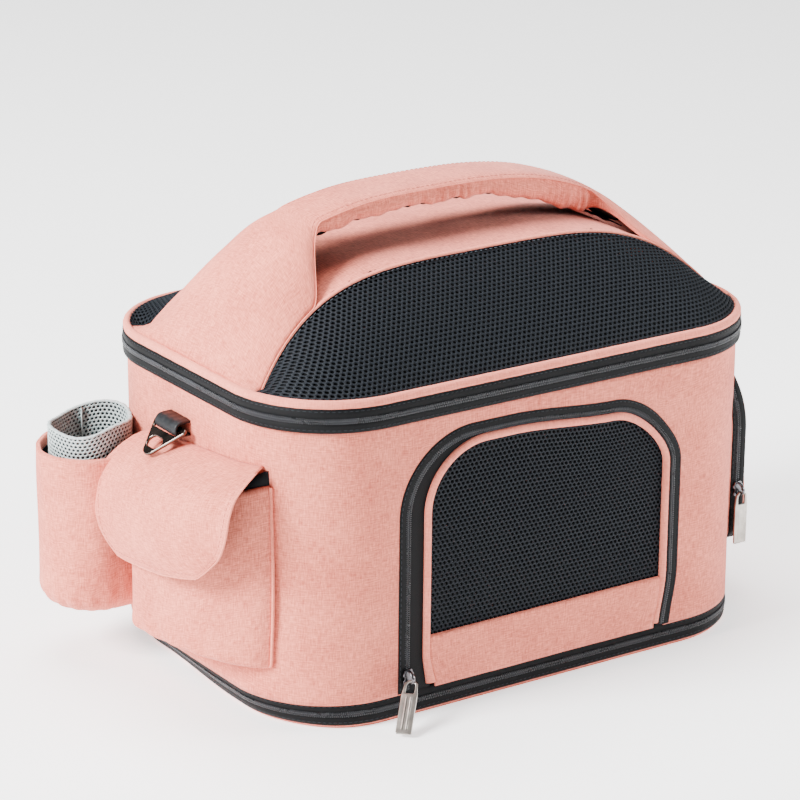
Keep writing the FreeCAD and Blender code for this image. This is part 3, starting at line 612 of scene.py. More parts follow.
def stitches(name, line, body, material=SHADE_DARKENED_THREAD, length=2.7, gap=1.3, thick=0.28):
    """A row of sewing stitches sunk half way into the cloth."""
    run = line.spaced(length + gap).shifted(0.0, 0.12)
    along = run.along()
    side = np.cross(run.out, along)
    return scatter(name, capsule_shape(5), run.points, along, side, run.out,
                   (length, thick, thick), material, body)


def zip_teeth(name, line, side, body, replaces=()):
    """One half of a nylon coil: rounded loops that stand across the tape's edge, side +1 or -1."""
    pitch, tall, overlap = 1.5, 2.5, 0.35
    run = line.spaced(pitch, 0.0 if side > 0 else pitch / 2)
    spots = run.points + run.across * side * (tall / 2 - overlap) + run.out * 0.15
    return scatter(name, capsule_shape(6), spots, run.across, run.along(), run.out,
                   (tall, 0.52, 0.72), COIL, body, replaces)


def net(name, surface, width, height, inside, pitch, hole, material, body, replaces=(), thick=0.7,
        back=False):
    """A real net of six-sided meshes over a surface given as a function of two lengths.

    The second layer behind a net is flat, and half a mesh out of step with the first.
    """
    shift, bead = (0.5, 0.0) if back else (0.0, 0.25)
    radius, row = pitch / math.sqrt(3), pitch * math.sqrt(3) / 2
    rows = np.arange(int(height / row) + 2)
    columns = np.arange(int(width / pitch) + 2)
    j, i = np.meshgrid(rows, columns, indexing="ij")
    u, v = (i + 0.5 * (j % 2) + shift) * pitch, (j + shift) * row
    keep = inside(u, v)
    u, v = u[keep], v[keep]
    angles = np.radians(30 + 60 * np.arange(6))
    outer = np.stack([u[:, None] + radius * np.cos(angles), v[:, None] + radius * np.sin(angles)], axis=2)
    inner = np.stack([u[:, None] + radius * hole * 1.06 * np.cos(angles),
                      v[:, None] + radius * hole * 0.94 * np.sin(angles)], axis=2)
    keys = np.round(outer.reshape(-1, 2) / (pitch * 0.05)).astype(np.int64)
    _, first, index = np.unique(keys, axis=0, return_index=True, return_inverse=True)
    index = index.reshape(-1, 6)
    corners = outer.reshape(-1, 2)[first]
    flat = np.concatenate([corners, inner.reshape(-1, 2)])
    high = np.concatenate([np.full(len(corners), bead), np.zeros(inner.shape[0] * 6)])
    points = on_surface(surface, flat, high)
    base = len(corners)
    faces = []
    for cell in range(len(u)):
        for k in range(6):
            n = (k + 1) % 6
            faces.append((index[cell, k], index[cell, n], base + cell * 6 + n, base + cell * 6 + k))
    item = new_piece(name, points, faces, material, body, flat, replaces)
    if not back:
        thicken(item, thick)


def on_surface(surface, flat, high):
    """Points of a surface at the given pairs of lengths, raised along its normal."""
    u, v = flat[:, 0], flat[:, 1]
    step = 0.4
    centre = surface(u, v)
    normal = np.cross(surface(u + step, v) - centre, surface(u, v + step) - centre)
    normal /= np.maximum(np.linalg.norm(normal, axis=1)[:, None], 1e-9)
    return centre + normal * high[:, None]


def soft(x, y, z):
    """A smooth, repeatable unevenness of about one unit, for cloth that is never quite flat."""
    return (0.5 * np.sin(x * 0.031 + y * 0.017 + z * 0.043 + 1.3)
            + 0.3 * np.sin(x * 0.013 - z * 0.071 + y * 0.053 + 0.4)
            + 0.2 * np.sin(x * 0.091 + z * 0.029 - y * 0.037))


def smooth(start, end, x):
    """0 at the start, 1 at the end, and a soft step between."""
    t = np.clip((x - start) / (end - start), 0.0, 1.0)
    return t * t * (3 - 2 * t)


def move_points(names, amounts):
    """Shifts the points of pieces, by a function of x, y and z in millimetres that yields
    (axis, millimetres) pairs."""
    for name in names:
        mesh = bpy.data.objects[name].data
        spots = np.zeros(len(mesh.vertices) * 3, np.float32)
        mesh.vertices.foreach_get("co", spots)
        spots = spots.reshape(-1, 3)
        for axis, amount in amounts(*(spots.astype(float) / MM).T):
            spots[:, axis] += amount * MM
        mesh.vertices.foreach_set("co", spots.ravel())
        mesh.update()


# ---------------------------------------------------------------- base and zip bands

def band_profile(low, high, face, back):
    """A flat tape's cross-section, slightly rounded: (up, out) round the loop."""
    return [(low, back), (low, face - 0.5), (low + 0.5, face), (high - 0.5, face), (high, face - 0.5),
            (high, back)]


def disc_piece(name, rim, count, level, thick, material, node):
    """A level sheet across the bag's foot, thickened downwards."""
    grid = flat_disc(rim, count, level)
    item = new_piece(name, grid, grid_faces(*grid.shape[:2]), material, "base", grid[..., :2], [node])
    weld(item)
    thicken(item, thick, 1.0)


def make_base():
    """The foot of the bag: rolled edge, underside, zip bands and teeth, and the stiffening board."""
    points, normals = round_plan(0.0, 4.0)
    line = Line(columns(*points.T, 0.0), (0, 0, 1), columns(*normals.T, 0.0), True)
    profile = [(3.1, -3.0), (2.9, -1.5), (2.3, -1.1), (1.5, -1.2), (0.7, -1.7), (0.15, -2.8), (0.05, -5.0),
               (1.4, -5.0)]
    sweep("base_edge", line, profile, PINK, "base")
    disc_piece("base_underside", points * (1 - 3.0 / HALF_LENGTH), 22, 0.25, 0.8, PINK, "base_skin")
    low = plan_line(0.0, 0.0)
    sweep("base_band", low, band_profile(1.9, LOW_COIL - 0.35, -0.4, -3.4), BLACK_TAPE, "base",
          ["base_zip_tape"])
    sweep("wall_low_band", low, band_profile(LOW_COIL + 0.35, WALL_BOTTOM + 0.6, -0.4, -3.4), BLACK_TAPE,
          "shell", ["wall_low_zip_tape"])
    coil = without_back(plan_line(0.3, LOW_COIL))
    zip_teeth("base_teeth", coil, -1, "base", ["base_zip_coil"])
    zip_teeth("wall_low_teeth", coil, 1, "shell", ["wall_low_zip_coil"])
    stitches("base_band_seam", plan_line(0.3, 4.4), "base", DARK_THREAD)
    stitches("wall_low_band_seam", without_door(plan_line(0.3, 16.6), 124), "shell", DARK_THREAD)
    disc_piece("base_stiffener", round_plan(6.0, 8.0)[0], 12, 4.6, 2.4, BOARD, "base_board")
    tuck_under("base_edge", "base_underside", "base_band", "wall_low_band", "base_teeth", "wall_low_teeth",
               "base_band_seam", "wall_low_band_seam", "base_stiffener")


def tuck_under(*names):
    """Draws the bag's foot in at its left end, where the soft lower edge curls under."""
    def amounts(x, y, z):
        deep = (5.0 + 6.5 * smooth(-50.0, 60.0, y)) * smooth(20.5, 4.0, z)
        yield 0, smooth(-150.0, -206.0, x) * (deep + 2.4 * smooth(5.0, 0.0, z))

    move_points(names, amounts)


def hinge_cloth(name, face, low, high, replaces):
    """A strip of cloth across the back, spanning the hinge between two bodies."""
    half = HINGE_HALF + 1.0
    x = np.linspace(-half, half, 60)
    z = np.linspace(low, high, 15)
    grid = np.array([[(a, face + 0.25 * math.sin(a * 0.12), b) for b in z] for a in x])
    strip = sheet_piece(name, grid, BLACK_TAPE, None)
    strip.data.transform(strip.matrix_world)
    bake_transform(strip)
    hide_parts(*replaces)
    thicken(strip, 0.6, 0.0)


def make_top_band():
    """The lid's zip bands and teeth, and the piped rim above them."""
    line = plan_line(0.0, 0.0)
    sweep("wall_top_band", line, band_profile(WALL_TOP - 0.8, TOP_COIL - 0.35, 3.0, -1.4), BLACK_TAPE,
          "shell", ["wall_top_zip_tape"])
    sweep("lid_band", line, band_profile(TOP_COIL + 0.35, BAND_TOP + 0.3, 3.0, -1.4), BLACK_TAPE,
          "lid", ["lid_zip_tape"])
    coil = without_back(plan_line(-3.1, TOP_COIL))
    zip_teeth("wall_top_teeth", coil, -1, "shell", ["wall_top_zip_coil"])
    zip_teeth("lid_teeth", coil, 1, "lid", ["lid_zip_coil"])
    stitches("wall_top_seam", plan_line(-3.05, WALL_TOP + 1.6), "shell", DARK_THREAD)
    stitches("lid_band_seam", plan_line(-3.05, BAND_TOP - 1.4), "lid", DARK_THREAD)
    cord = [(BAND_TOP - 0.3, 1.9), (BAND_TOP + 0.6, 2.9), (BAND_TOP + 2.4, 3.2), (BAND_TOP + 4.4, 2.6),
            (RIM_TOP + 0.1, 0.9), (RIM_TOP + 0.2, -0.6), (RIM_TOP - 0.8, -2.2), (BAND_TOP + 2.2, -2.8),
            (BAND_TOP, -2.4)]
    sweep("rim_cord", plan_line(0.0, 0.0, -0.1), cord, PINK_TRIM, "lid", ["rim_piping"], waves=0.12)
    stitches("rim_seam", plan_line(-2.4, BAND_TOP + 1.0), "lid", SHADE_DARKENED_THREAD, thick=0.22)


# ---------------------------------------------------------------- walls

def arch_distance(x, z, width, top, radius, bottom=-1000.0):
    """How far outside an arch a point of the front wall lies, negative inside."""
    half = width / 2
    dx = np.abs(x) - (half - radius)
    dz = z - (top - radius)
    corner = np.hypot(np.maximum(dx, 0), np.maximum(dz, 0)) - radius
    flat = np.maximum(np.abs(x) - half, z - top)
    round_part = (dx > 0) & (dz > 0)
    return np.where(round_part, corner, np.maximum(flat, bottom - z))


def wall_sheet(name, inset, material, thick, replaces, sag=0.0, hole=3.0):
    """A cloth wall round the bag with the door's arch cut out of its front."""
    low, high = WALL_BOTTOM - 0.4, WALL_TOP + 0.6
    arch = (DOOR_WIDTH - 2 * hole, DOOR_TOP - hole, DOOR_RADIUS - hole)
    points, normals = round_plan(inset, 3.6)
    levels = np.linspace(low, high, 56)
    grid = np.zeros((len(points), len(levels), 3))
    grid[..., :2] = points[:, None, :]
    grid[..., 2] = levels[None, :]
    front = (grid[..., 1] < -HALF_DEPTH + CORNER * 0.02 + inset + 1)
    away = arch_distance(grid[..., 0], grid[..., 2], *arch)
    near = front & (np.abs(away) < 2.3)
    for i, j in zip(*np.nonzero(near)):
        grid[i, j] = snap_to_arch(grid[i, j], *arch)
    if sag:
        x, y, z = grid[..., 0], grid[..., 1], grid[..., 2]
        middle = np.sin(np.pi * (z - low) / (high - low))
        calm = np.where(front, smooth(0.0, 22.0, away), 1.0)
        move = np.maximum(calm * middle * (sag * soft(x, y, z) - 0.5), -0.45)
        grid[..., 0] += normals[:, None, 0] * move
        grid[..., 1] += normals[:, None, 1] * move

    def in_door(centre):
        if centre[1] > -HALF_DEPTH + inset + 1.5:
            return False
        return arch_distance(centre[0], centre[2], *arch) < -0.1

    return sheet_piece(name, grid, material, "shell", replaces, thick, closed=True, drop=in_door)


def snap_to_arch(point, width, top, radius):
    """The nearest point of the door's cut edge."""
    half = width / 2
    x, z = point[0], point[2]
    side = 1.0 if x > 0 else -1.0
    dx, dz = abs(x) - (half - radius), z - (top - radius)
    if dx > 0 and dz > 0:
        reach = math.hypot(dx, dz)
        return np.array([side * (half - radius + dx * radius / reach), point[1],
                         top - radius + dz * radius / reach])
    if dz > dx:
        return np.array([x, point[1], top])
    return np.array([side * half, point[1], z])


def make_walls():
    """The outer cloth, the lining and the seams of the wall, over the stiffening boards."""
    boards = ["front_board", "rear_board", "end_boards"]
    cloth = wall_sheet("wall_outer_cloth", 0.0, PINK, 1.2, ["wall_cloth"], sag=0.9)
    inner = wall_sheet("wall_inner_lining", 4.3, LINING, 0.6, ["wall_lining"], hole=1.5)
    tuck_under("wall_outer_cloth", "wall_inner_lining")
    for name in boards:
        repaint(name, BOARD)
    repaint("rim_wire", STEEL)
    lift = np.linspace(212.0, 220.4, 8)
    seam = Line(columns(-4.0, -HALF_DEPTH - 0.15, lift), (1, 0, 0), (0, -1, 0))
    sweep("front_top_seam", seam, [(-2.2, -0.3), (-1.2, 0.5), (-0.2, 0.75), (0.1, 0.3), (0.15, -0.3)], PINK,
          "shell", loop=False)
    # A thin strip in the darkened thread colour along the seam: painted shade of the crease above the door.
    sweep("front_top_groove", seam, [(0.1, 0.05), (0.3, 0.22), (0.55, 0.05)], SHADE_DARKENED_THREAD, "shell", loop=False,
          slot="pink_cloth")
    lift = np.linspace(WALL_BOTTOM + 1, WALL_TOP - 1, 40)
    back = Line(columns(0.0, HALF_DEPTH + 0.1, lift), (-1, 0, 0), (0, 1, 0))
    sweep("back_seam", back, [(-1.2, -1.4), (-0.7, 0.2), (0.0, 0.35), (0.5, -0.1), (0.8, -1.4)], PINK,
          "shell", loop=False)
    stitches("back_seam_thread", back.shifted(3.2, -0.2), "shell", SHADE_DARKENED_THREAD)


def repaint(node, material):
    """Gives a carried-over CAD node its material."""
    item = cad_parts[node]
    item = item if isinstance(item, bpy.types.Object) else bpy.data.objects[item]
    for slot in item.material_slots:
        slot.material = material


# ---------------------------------------------------------------- door

def slump_front(*names):
    """Lets the door's arch hang a little: low at its right shoulder, drawn in at its right foot."""
    def amounts(x, y, z):
        front = np.where(y > -HALF_DEPTH + 12, 0.0, 1.0)
        lift = smooth(110.0, 198.0, z) * smooth(221.0, 211.5, z)
        right = smooth(30.0, 96.0, x) * smooth(150.0, 124.0, x)
        foot = smooth(62.0, 14.0, z) * (12.5 - 6.5 * smooth(96.0, 108.0, x))
        shoulder = 4.5 * smooth(150.0, 192.0, z) * smooth(221.0, 208.0, z)
        drop = 2.0 + 6.8 * smooth(-30.0, 66.0, x) * smooth(165.0, 122.0, x)
        left = smooth(-108.0, -99.0, x) * smooth(-20.0, -85.0, x)
        yield 0, 6.0 * left * smooth(46.0, 15.0, z) * front
        yield 2, -(drop * lift * smooth(-140.0, -112.0, x)) * front
        yield 0, -(right * (foot + shoulder)) * front

    move_points(names, amounts)


def make_door():
    """The door: its zip, its tapes, the piping and the mesh inside it, and its foot panel."""
    path = front_arch(0.0, 232.0, 204.0, 55.0, 18.5)
    tape = [(0.35, -1.5), (0.35, 0.35), (1.0, 0.55), (6.6, 0.6), (7.3, 0.3), (7.4, -1.5)]
    sweep("door_frame_band", path, tape, BLACK_TAPE, "shell", ["door_frame_zip_tape"])
    coil = front_arch(0.3, 232.0, 204.0, 55.0, 19.5)
    zip_teeth("door_frame_teeth", coil, 1, "shell", ["door_frame_zip_coil"])
    zip_teeth("door_teeth", coil, -1, "door", ["door_zip_coil"])
    stitches("door_frame_seam", front_arch(0.6, 243.6, 209.8, 60.8, 20.0), "shell", DARK_THREAD)
    door_band()
    cord = front_arch(0.6, 209.2, 199.2, 49.0, 22.0, DOOR_SHIFT)
    sweep("door_cord", cord, oval(2.9, 2.6, 12, 0.1), PINK_TRIM, "door", ["door_piping"])
    stitches("door_cord_seam", cord.shifted(2.7, 1.1), "door", SHADE_DARKENED_THREAD, thick=0.2)
    door_net()
    door_panel()


def door_band():
    """The inner zip tape, between the coil's edge and the piping's outer edge."""
    outer, _ = arch_path(231.4, 203.7, 54.7, 19.0)
    inner, _ = arch_path(211.0, 200.2, 50.0, 19.0, DOOR_SHIFT)
    outer, inner = even(outer, 220), even(inner, 220)
    rows = []
    for t, out in ((0.0, -1.4), (0.0, 0.2), (0.06, 0.42), (0.5, 0.5), (0.94, 0.42), (1.0, 0.2), (1.0, -1.4)):
        flat = outer * (1 - t) + inner * t
        rows.append(columns(flat[:, 0], -HALF_DEPTH - out, flat[:, 1]))
    welded("door_band", closed_grid(np.stack(rows, axis=1)), BLACK_TAPE, "door", ["door_zip_tape"])


def door_net():
    """The door's two layers of mesh."""
    low, width, top, radius = 55.5, 205.0, 197.2, 47.0

    def surface(u, v):
        bulge = 1.6 * np.sin(np.pi * np.clip(v / 140.0, 0, 1)) * np.sin(np.pi * np.clip(u / width, 0, 1))
        return np.stack([u - width / 2 + DOOR_SHIFT, -HALF_DEPTH - bulge + 0.2, v + low], axis=1)

    def inside(u, v):
        return arch_distance(u - width / 2, v + low, width, top, radius, low) < 0.6

    net("door_net_front", surface, width, top - low, inside, 3.7, 0.62, BLACK_NET, "door", ["door_mesh"])

    def behind(u, v):
        spot = surface(u, v)
        spot[:, 1] += 1.7
        return spot

    net("door_net_back", behind, width, top - low, inside, 3.7, 0.34, BACK_NET, "door", back=True)


def door_panel():
    """The cloth panel at the door's foot, with its folded, stitched top."""
    low, high, half = 18.4, 57.5, 103.0
    x = np.linspace(-half, half, 70) + DOOR_SHIFT
    z = np.linspace(low, high, 16)
    grid = np.zeros((len(x), len(z), 3))
    grid[..., 0], grid[..., 2] = x[:, None], z[None, :]
    swell = np.sin(np.pi * (z - low) / (high - low))[None, :]
    grid[..., 1] = -HALF_DEPTH - 0.9 - 0.8 * swell - 0.35 * soft(x[:, None] * 2, 0, z[None, :] * 2)
    panel = sheet_piece("door_foot_panel", grid, PINK, "door", ["door_lower_panel"], 1.0, offset=1.0)
    edge = np.linspace(-half + 1, half - 1, 60) + DOOR_SHIFT
    top = Line(columns(edge, -HALF_DEPTH - 1.1, high - 0.4), (0, 0, 1), (0, -1, 0))
    sweep("door_panel_fold", top, [(-1.2, -0.4), (-1.0, 0.25), (0.2, 0.45), (0.9, 0.1), (0.9, -0.9)], PINK,
          "door", loop=False)
    stitches("door_panel_seam", top.shifted(-3.2, 0.4), "door", SHADE_DARKENED_THREAD)


# ---------------------------------------------------------------- lid

def roof_height(x, side=-1):
    """The roof seam's height; the soft bag stands a little shorter along the back."""
    reach = ROOF_REACH if side < 0 else REAR_REACH
    return RIM_TOP + ROOF_RISE * (1 - np.abs(x / reach) ** 3.9)


def seam_offset(x, side=-1):
    """How far from the middle the roof's side seam runs; it flares towards both ends."""
    reach = ROOF_REACH if side < 0 else REAR_REACH
    return ROOF_HALF + SEAM_FLARE * np.abs(x / reach) ** 4.35


def rim_offset(x):
    """How far from the middle the rim runs at x."""
    past = np.maximum(0, np.abs(x) - (HALF_LENGTH - CORNER))
    return HALF_DEPTH - CORNER + np.sqrt(np.maximum((CORNER - 1.4) ** 2 - past ** 2, 0))


def handle_top(x):
    """The crest of the end panels and handle, pulled a little to the left: steep there, slower right."""
    left = np.abs((x - HANDLE_PEAK) / (HANDLE_END + HANDLE_PEAK)) ** 3.4
    right = np.abs((x - HANDLE_PEAK) / (HANDLE_END - HANDLE_PEAK)) ** 3.05
    return RIM_TOP + HANDLE_RISE * (1 - np.where(np.asarray(x) < HANDLE_PEAK, left, right))


def lean(points):
    """The soft handle leans a little to the front."""
    points = np.asarray(points, float).copy()
    share = smooth(285.0, 335.0, points[..., 2]) * smooth(150.0, 90.0, np.abs(points[..., 0]))
    points[..., 1] -= 8.0 * share
    return points


def lid_side(side):
    """The slanting mesh side as a function of two lengths: along the bag, and up from the rim."""
    def surface(u, v):
        x = u - LID_END
        rim, seam = rim_offset(x) - 0.6, seam_offset(x, side) - 0.6
        top = np.maximum(roof_height(x, side), RIM_TOP - 0.5)
        slant = np.hypot(rim - seam, top - RIM_TOP)
        t = np.clip(v / np.maximum(slant, 1.0), -0.05, 1.05)
        swell = (3.8 if side < 0 else -3.0) * np.sin(np.pi * np.clip(t, 0, 1)) * smooth(0, 40, slant)
        up = (top - RIM_TOP) / np.maximum(slant, 1.0)
        level = (rim - seam) / np.maximum(slant, 1.0)
        y = rim + (seam - rim) * t + swell * up
        z = RIM_TOP - 0.6 + (top - RIM_TOP) * t + swell * level
        return np.stack([-side * x, side * y, z], axis=1)
    return surface


def lid_nets():
    """The two layers of mesh on each slanting side of the lid."""
    for name, side in (("front", -1), ("rear", 1)):
        surface = lid_side(side)

        def inside(u, v, side=side):
            x = u - LID_END
            seam, rise = seam_offset(x, side), np.maximum(roof_height(x, side) - RIM_TOP, 0)
            slant = np.hypot(rim_offset(x) - seam, rise)
            return (v < slant + 0.6) & (np.abs(x) < LID_END + 0.5) & (rim_offset(x) > seam)

        net(f"lid_{name}_net", surface, 2 * LID_END, 100.0, inside, 4.0, 0.6, BLACK_NET, "lid",
            [f"{name}_lid_mesh"])

        def behind(u, v, surface=surface, side=side):
            spot = surface(u, v)
            spot[:, 1] -= side * 1.2
            spot[:, 2] -= 1.2
            return spot

        net(f"lid_{name}_net_back", behind, 2 * LID_END, 100.0, inside, 4.0, 0.34, BACK_NET, "lid",
            back=True)


def make_roof():
    """The roof panel, its rolled seams and the lid's meshes."""
    x = np.linspace(-172, 172, 120)
    t = np.linspace(-1, 1, 40)
    grid = np.zeros((len(x), len(t), 3))
    grid[..., 0] = x[:, None]
    share = (1 + t[None, :]) / 2
    grid[..., 1] = seam_offset(x, 1)[:, None] * share - seam_offset(x)[:, None] * (1 - share)
    crown = 2.5 * (1 - np.abs(t) ** 2.5)
    grid[..., 2] = roof_height(x, 1)[:, None] * share + roof_height(x)[:, None] * (1 - share)
    grid[..., 2] += crown[None, :] * smooth(165, 120, np.abs(x))[:, None]
    grid[..., 2] += 0.8 * soft(grid[..., 0] * 1.3, grid[..., 1], 0.0) * (1 - t[None, :] ** 2)
    roof = sheet_piece("roof_cloth", grid, PINK, "lid", ["roof_panel"], 1.2)
    for name, side in (("front", -1), ("rear", 1)):
        end = 201.5 if side < 0 else 194.5
        spots = np.linspace(-end, end, 170)
        y, z = seam_offset(spots, side), roof_height(spots, side)
        line = Line(columns(spots, side * y, z), (0, -side, 0.15), (0, side * 0.5, 0.87))
        sweep(f"{name}_roof_fold", line, oval(1.9, 1.35, 10), PINK_TRIM, "lid")
        below = Line(columns(spots, side * (y + 2.2), z - 2.1), (0, -side, 0.15), (0, side * 0.75, 0.66))
        stitches(f"{name}_mesh_seam", below.shifted(0, 0.9), "lid", MESH_THREAD, length=2.4, gap=1.8)
    lid_nets()


def cover_section(x, side):
    """Half width, edge height and skirt of the long outer layer at x, on one side."""
    reach = abs(x)
    free = float(smooth(149.0, 117.0, reach))
    width = (seam_offset(x, side) + 0.6) * (1 - free) + 23.5 * free
    low = max(float(roof_height(x, side)) + 1.0, RIM_TOP - 1.3)
    edge = low * (1 - free) + (float(handle_top(x)) - 3.0) * free
    deep = 8.6 + 9.0 * float(smooth(15.0, 95.0, x))
    skirt = 2.4 + deep * float(smooth(134.0, 108.0, reach))
    return width, edge, skirt


def make_cover():
    """Both end panels and the handle: one cloth that rises from the rim and arches over the roof."""
    spots = np.concatenate([np.linspace(-207.8, -109, 72), np.linspace(-108, 108, 217),
                            np.linspace(109, 207.8, 72)])
    t = np.linspace(-1, 1, 41)
    rows = []
    for x in spots:
        high = float(handle_top(x))
        power = 2.2 + 2.6 * float(smooth(150.0, 115.0, abs(x)))
        halves = {}
        for side in (-1, 1):
            width, edge, skirt = cover_section(x, side)
            part = t[t <= 0] if side < 0 else t[t > 0]
            crest = max(high, edge)
            y = width * part
            z = edge + (crest - edge) * (1 - np.abs(part) ** power)
            z = z + 0.7 * soft(x * 1.4, y * 1.6, 0.0) * (1 - part ** 2)
            loose = float(smooth(132, 108, abs(x)))
            gather = 0.5 + 0.5 * math.sin(x * 0.047 + 2.0)
            pleat = loose * gather * (0.8 * math.sin(x * 0.62 + 2.2 * math.sin(x * 0.11))
                                      + 0.45 * math.sin(x * 1.13 + side))
            hang = loose * (math.sin(x * 0.17 + 1.4 * math.sin(x * 0.06)) + 0.5 * math.sin(x * 0.43))
            skirt_rows = []
            for drop, tuck in ((0.1, -0.7), (0.3, 0.4), (0.55, 0.9), (0.8, 0.5), (1.0, -0.9)):
                way = width + tuck * min(1.0, skirt / 8) + pleat * math.sin(math.pi * min(drop, 0.9))
                skirt_rows.append((x, side * way, edge - (skirt + hang) * drop))
            halves[side] = (columns(x, y, z), skirt_rows)
        rows.append(np.concatenate([halves[-1][1][::-1], halves[-1][0], halves[1][0], halves[1][1]]))
    grid = lean(np.array(rows))
    cover = sheet_piece("lid_outer_cloth", grid, PINK, "lid",
                        ["left_end_panel", "right_end_panel", "handle_cover"], 1.3)
    for name, first, side in (("front", 5, -1), ("rear", len(t) + 4, 1)):
        run = grid[:, first]
        line = Line(run, (0, -side, 0), (0, side * 0.7, 0.7))
        sweep(f"cover_{name}_edge", line, oval(0.75, 0.6, 8), PINK_TRIM, "lid")
        middle = np.abs(run[:, 0]) < 128
        inset = grid[middle, first - side * 3]
        stitches(f"cover_{name}_seam", Line(inset, (0, 1, 0), (0, side * 0.25, 0.97)), "lid")


def make_handle_inside():
    """The handle's foam and its black underside, under the outer layer."""
    spots = np.linspace(-146, 152, 120)
    rows, pads = [], []
    for x in spots:
        high = float(handle_top(x))
        fade = float(smooth(150, 128, abs(x)))
        low = max(high - 13.0 - 7.0 * float(smooth(15.0, 95.0, x)), float(roof_height(x)) + 3.4)
        wave = 0.9 * math.sin(x * 0.45) * fade
        rows.append([(x, 22.6 * s, low + 1.2 * (1 - s * s) + wave * abs(s) ** 3)
                     for s in np.linspace(-1, 1, 17)])
        thick = max(min(high - 2.8 - (low + 1.4), 10.5), 0.8)
        low = high - 4.3 - thick if thick > 1 else low
        ring = []
        for a in np.linspace(0, 2 * math.pi, 21)[:-1]:
            c, s = math.cos(a), math.sin(a)
            ring.append((x, 20.4 * math.copysign(abs(c) ** 0.6, c),
                         low + 1.5 + thick / 2 + thick / 2 * math.copysign(abs(s) ** 0.7, s)))
        pads.append(ring)
    under = sheet_piece("handle_under_lining", lean(np.array(rows))[:, ::-1], LINING, "lid",
                        ["handle_underside"], 0.8)
    pad = closed_grid(lean(np.array(pads)))
    rings, count = pad.shape[:2]
    faces = grid_faces(rings, count)
    faces += [tuple(range(count - 1)), tuple((rings - 1) * count + k for k in reversed(range(count - 1)))]
    foam = new_piece("handle_foam_pad", pad, faces, FOAM, "lid", grid_uv(pad), ["handle_foam"])
    weld(foam)


# ---------------------------------------------------------------- bottle pocket and sleeve

def cup_plan(z, inset=0.0):
    """The bottle pocket's outline at one height: two straight sides and a round front."""
    low, radius = 40.0, 15.0
    depth = max(0.0, low + radius - z)
    shrink = radius - math.sqrt(max(radius ** 2 - depth ** 2, 0.0)) + inset
    flare = 0.9 * smooth(110.0, 160.0, z)
    r = BOTTLE_RADIUS + flare - shrink
    side_low = [(x, BOTTLE_Y - r) for x in np.linspace(-210.2, BOTTLE_X + 1, 9)]
    arc = [(BOTTLE_X - r * math.sin(a), BOTTLE_Y - r * math.cos(a)) for a in np.linspace(0, math.pi, 49)]
    back = [(x, BOTTLE_Y + r) for x in np.linspace(BOTTLE_X + 1, wall_x(BOTTLE_Y + r) - 0.3, 16)]
    return np.array(side_low + arc + back)


def wall_x(y):
    """The x of the left wall's face at a distance towards the front or back."""
    past = np.maximum(np.abs(y) - (HALF_DEPTH - CORNER), 0)
    return -(HALF_LENGTH - CORNER) - np.sqrt(np.maximum(CORNER ** 2 - past ** 2, 0))


def make_bottle_pocket():
    """The gathered cup that holds the bottle sleeve, its lining and its hem."""
    levels = np.concatenate([40.0 + 15.0 * (1 - np.cos(np.linspace(0.05, math.pi / 2, 9))),
                             np.linspace(58, 160, 30)])
    rows = []
    for z in levels:
        plan = cup_plan(z)
        run = np.arange(len(plan))
        pucker = 0.9 * math.exp(-((z - 47) / 9.0) ** 2)
        wave = pucker * np.sin(run * 1.15) + 0.9 * soft(run * 9.0, z * 1.3, 0.0) * smooth(48, 80, z)
        out = plan - (BOTTLE_X, BOTTLE_Y)
        out /= np.linalg.norm(out, axis=1)[:, None]
        spots = plan + out * wave[:, None] * (run > 8)[:, None] * (run < 60)[:, None]
        sag = 1.6 * np.sin(np.pi * np.clip((run - 9) / 48.0, 0, 1)) * smooth(120, 160, z)
        rows.append(columns(*spots.T, z - sag))
    side = np.array(rows)
    middle = np.array([BOTTLE_X + 8, BOTTLE_Y, 40.4])
    floor = [middle + (side[0] - middle) * t for t in (0.02, 0.3, 0.6, 0.85)]
    cup = np.concatenate([np.array(floor), side])
    item = sheet_piece("bottle_cup", cup.transpose(1, 0, 2), PINK, "shell", ["bottle_pocket"], 1.5)
    inner = np.array([columns(*cup_plan(z, 1.9).T, z - 0.8) for z in np.linspace(60, 158.6, 14)])
    lining = sheet_piece("bottle_cup_lining", inner.transpose(1, 0, 2), LINING, "shell", (), 0.5)
    top = Line(side[-1], (0, 0, 1), outwards(side[-1], BOTTLE_X, BOTTLE_Y))
    fold = [(-8.2, 0.1), (-7.6, 0.55), (-0.5, 0.7), (0.35, 0.1), (0.3, -1.3), (-0.6, -1.9), (-7.6, -1.8)]
    sweep("bottle_cup_hem", top, fold, PINK, "shell", ["bottle_pocket_binding"])
    stitches("bottle_cup_seam", top.shifted(-6.4, 0.6), "shell")


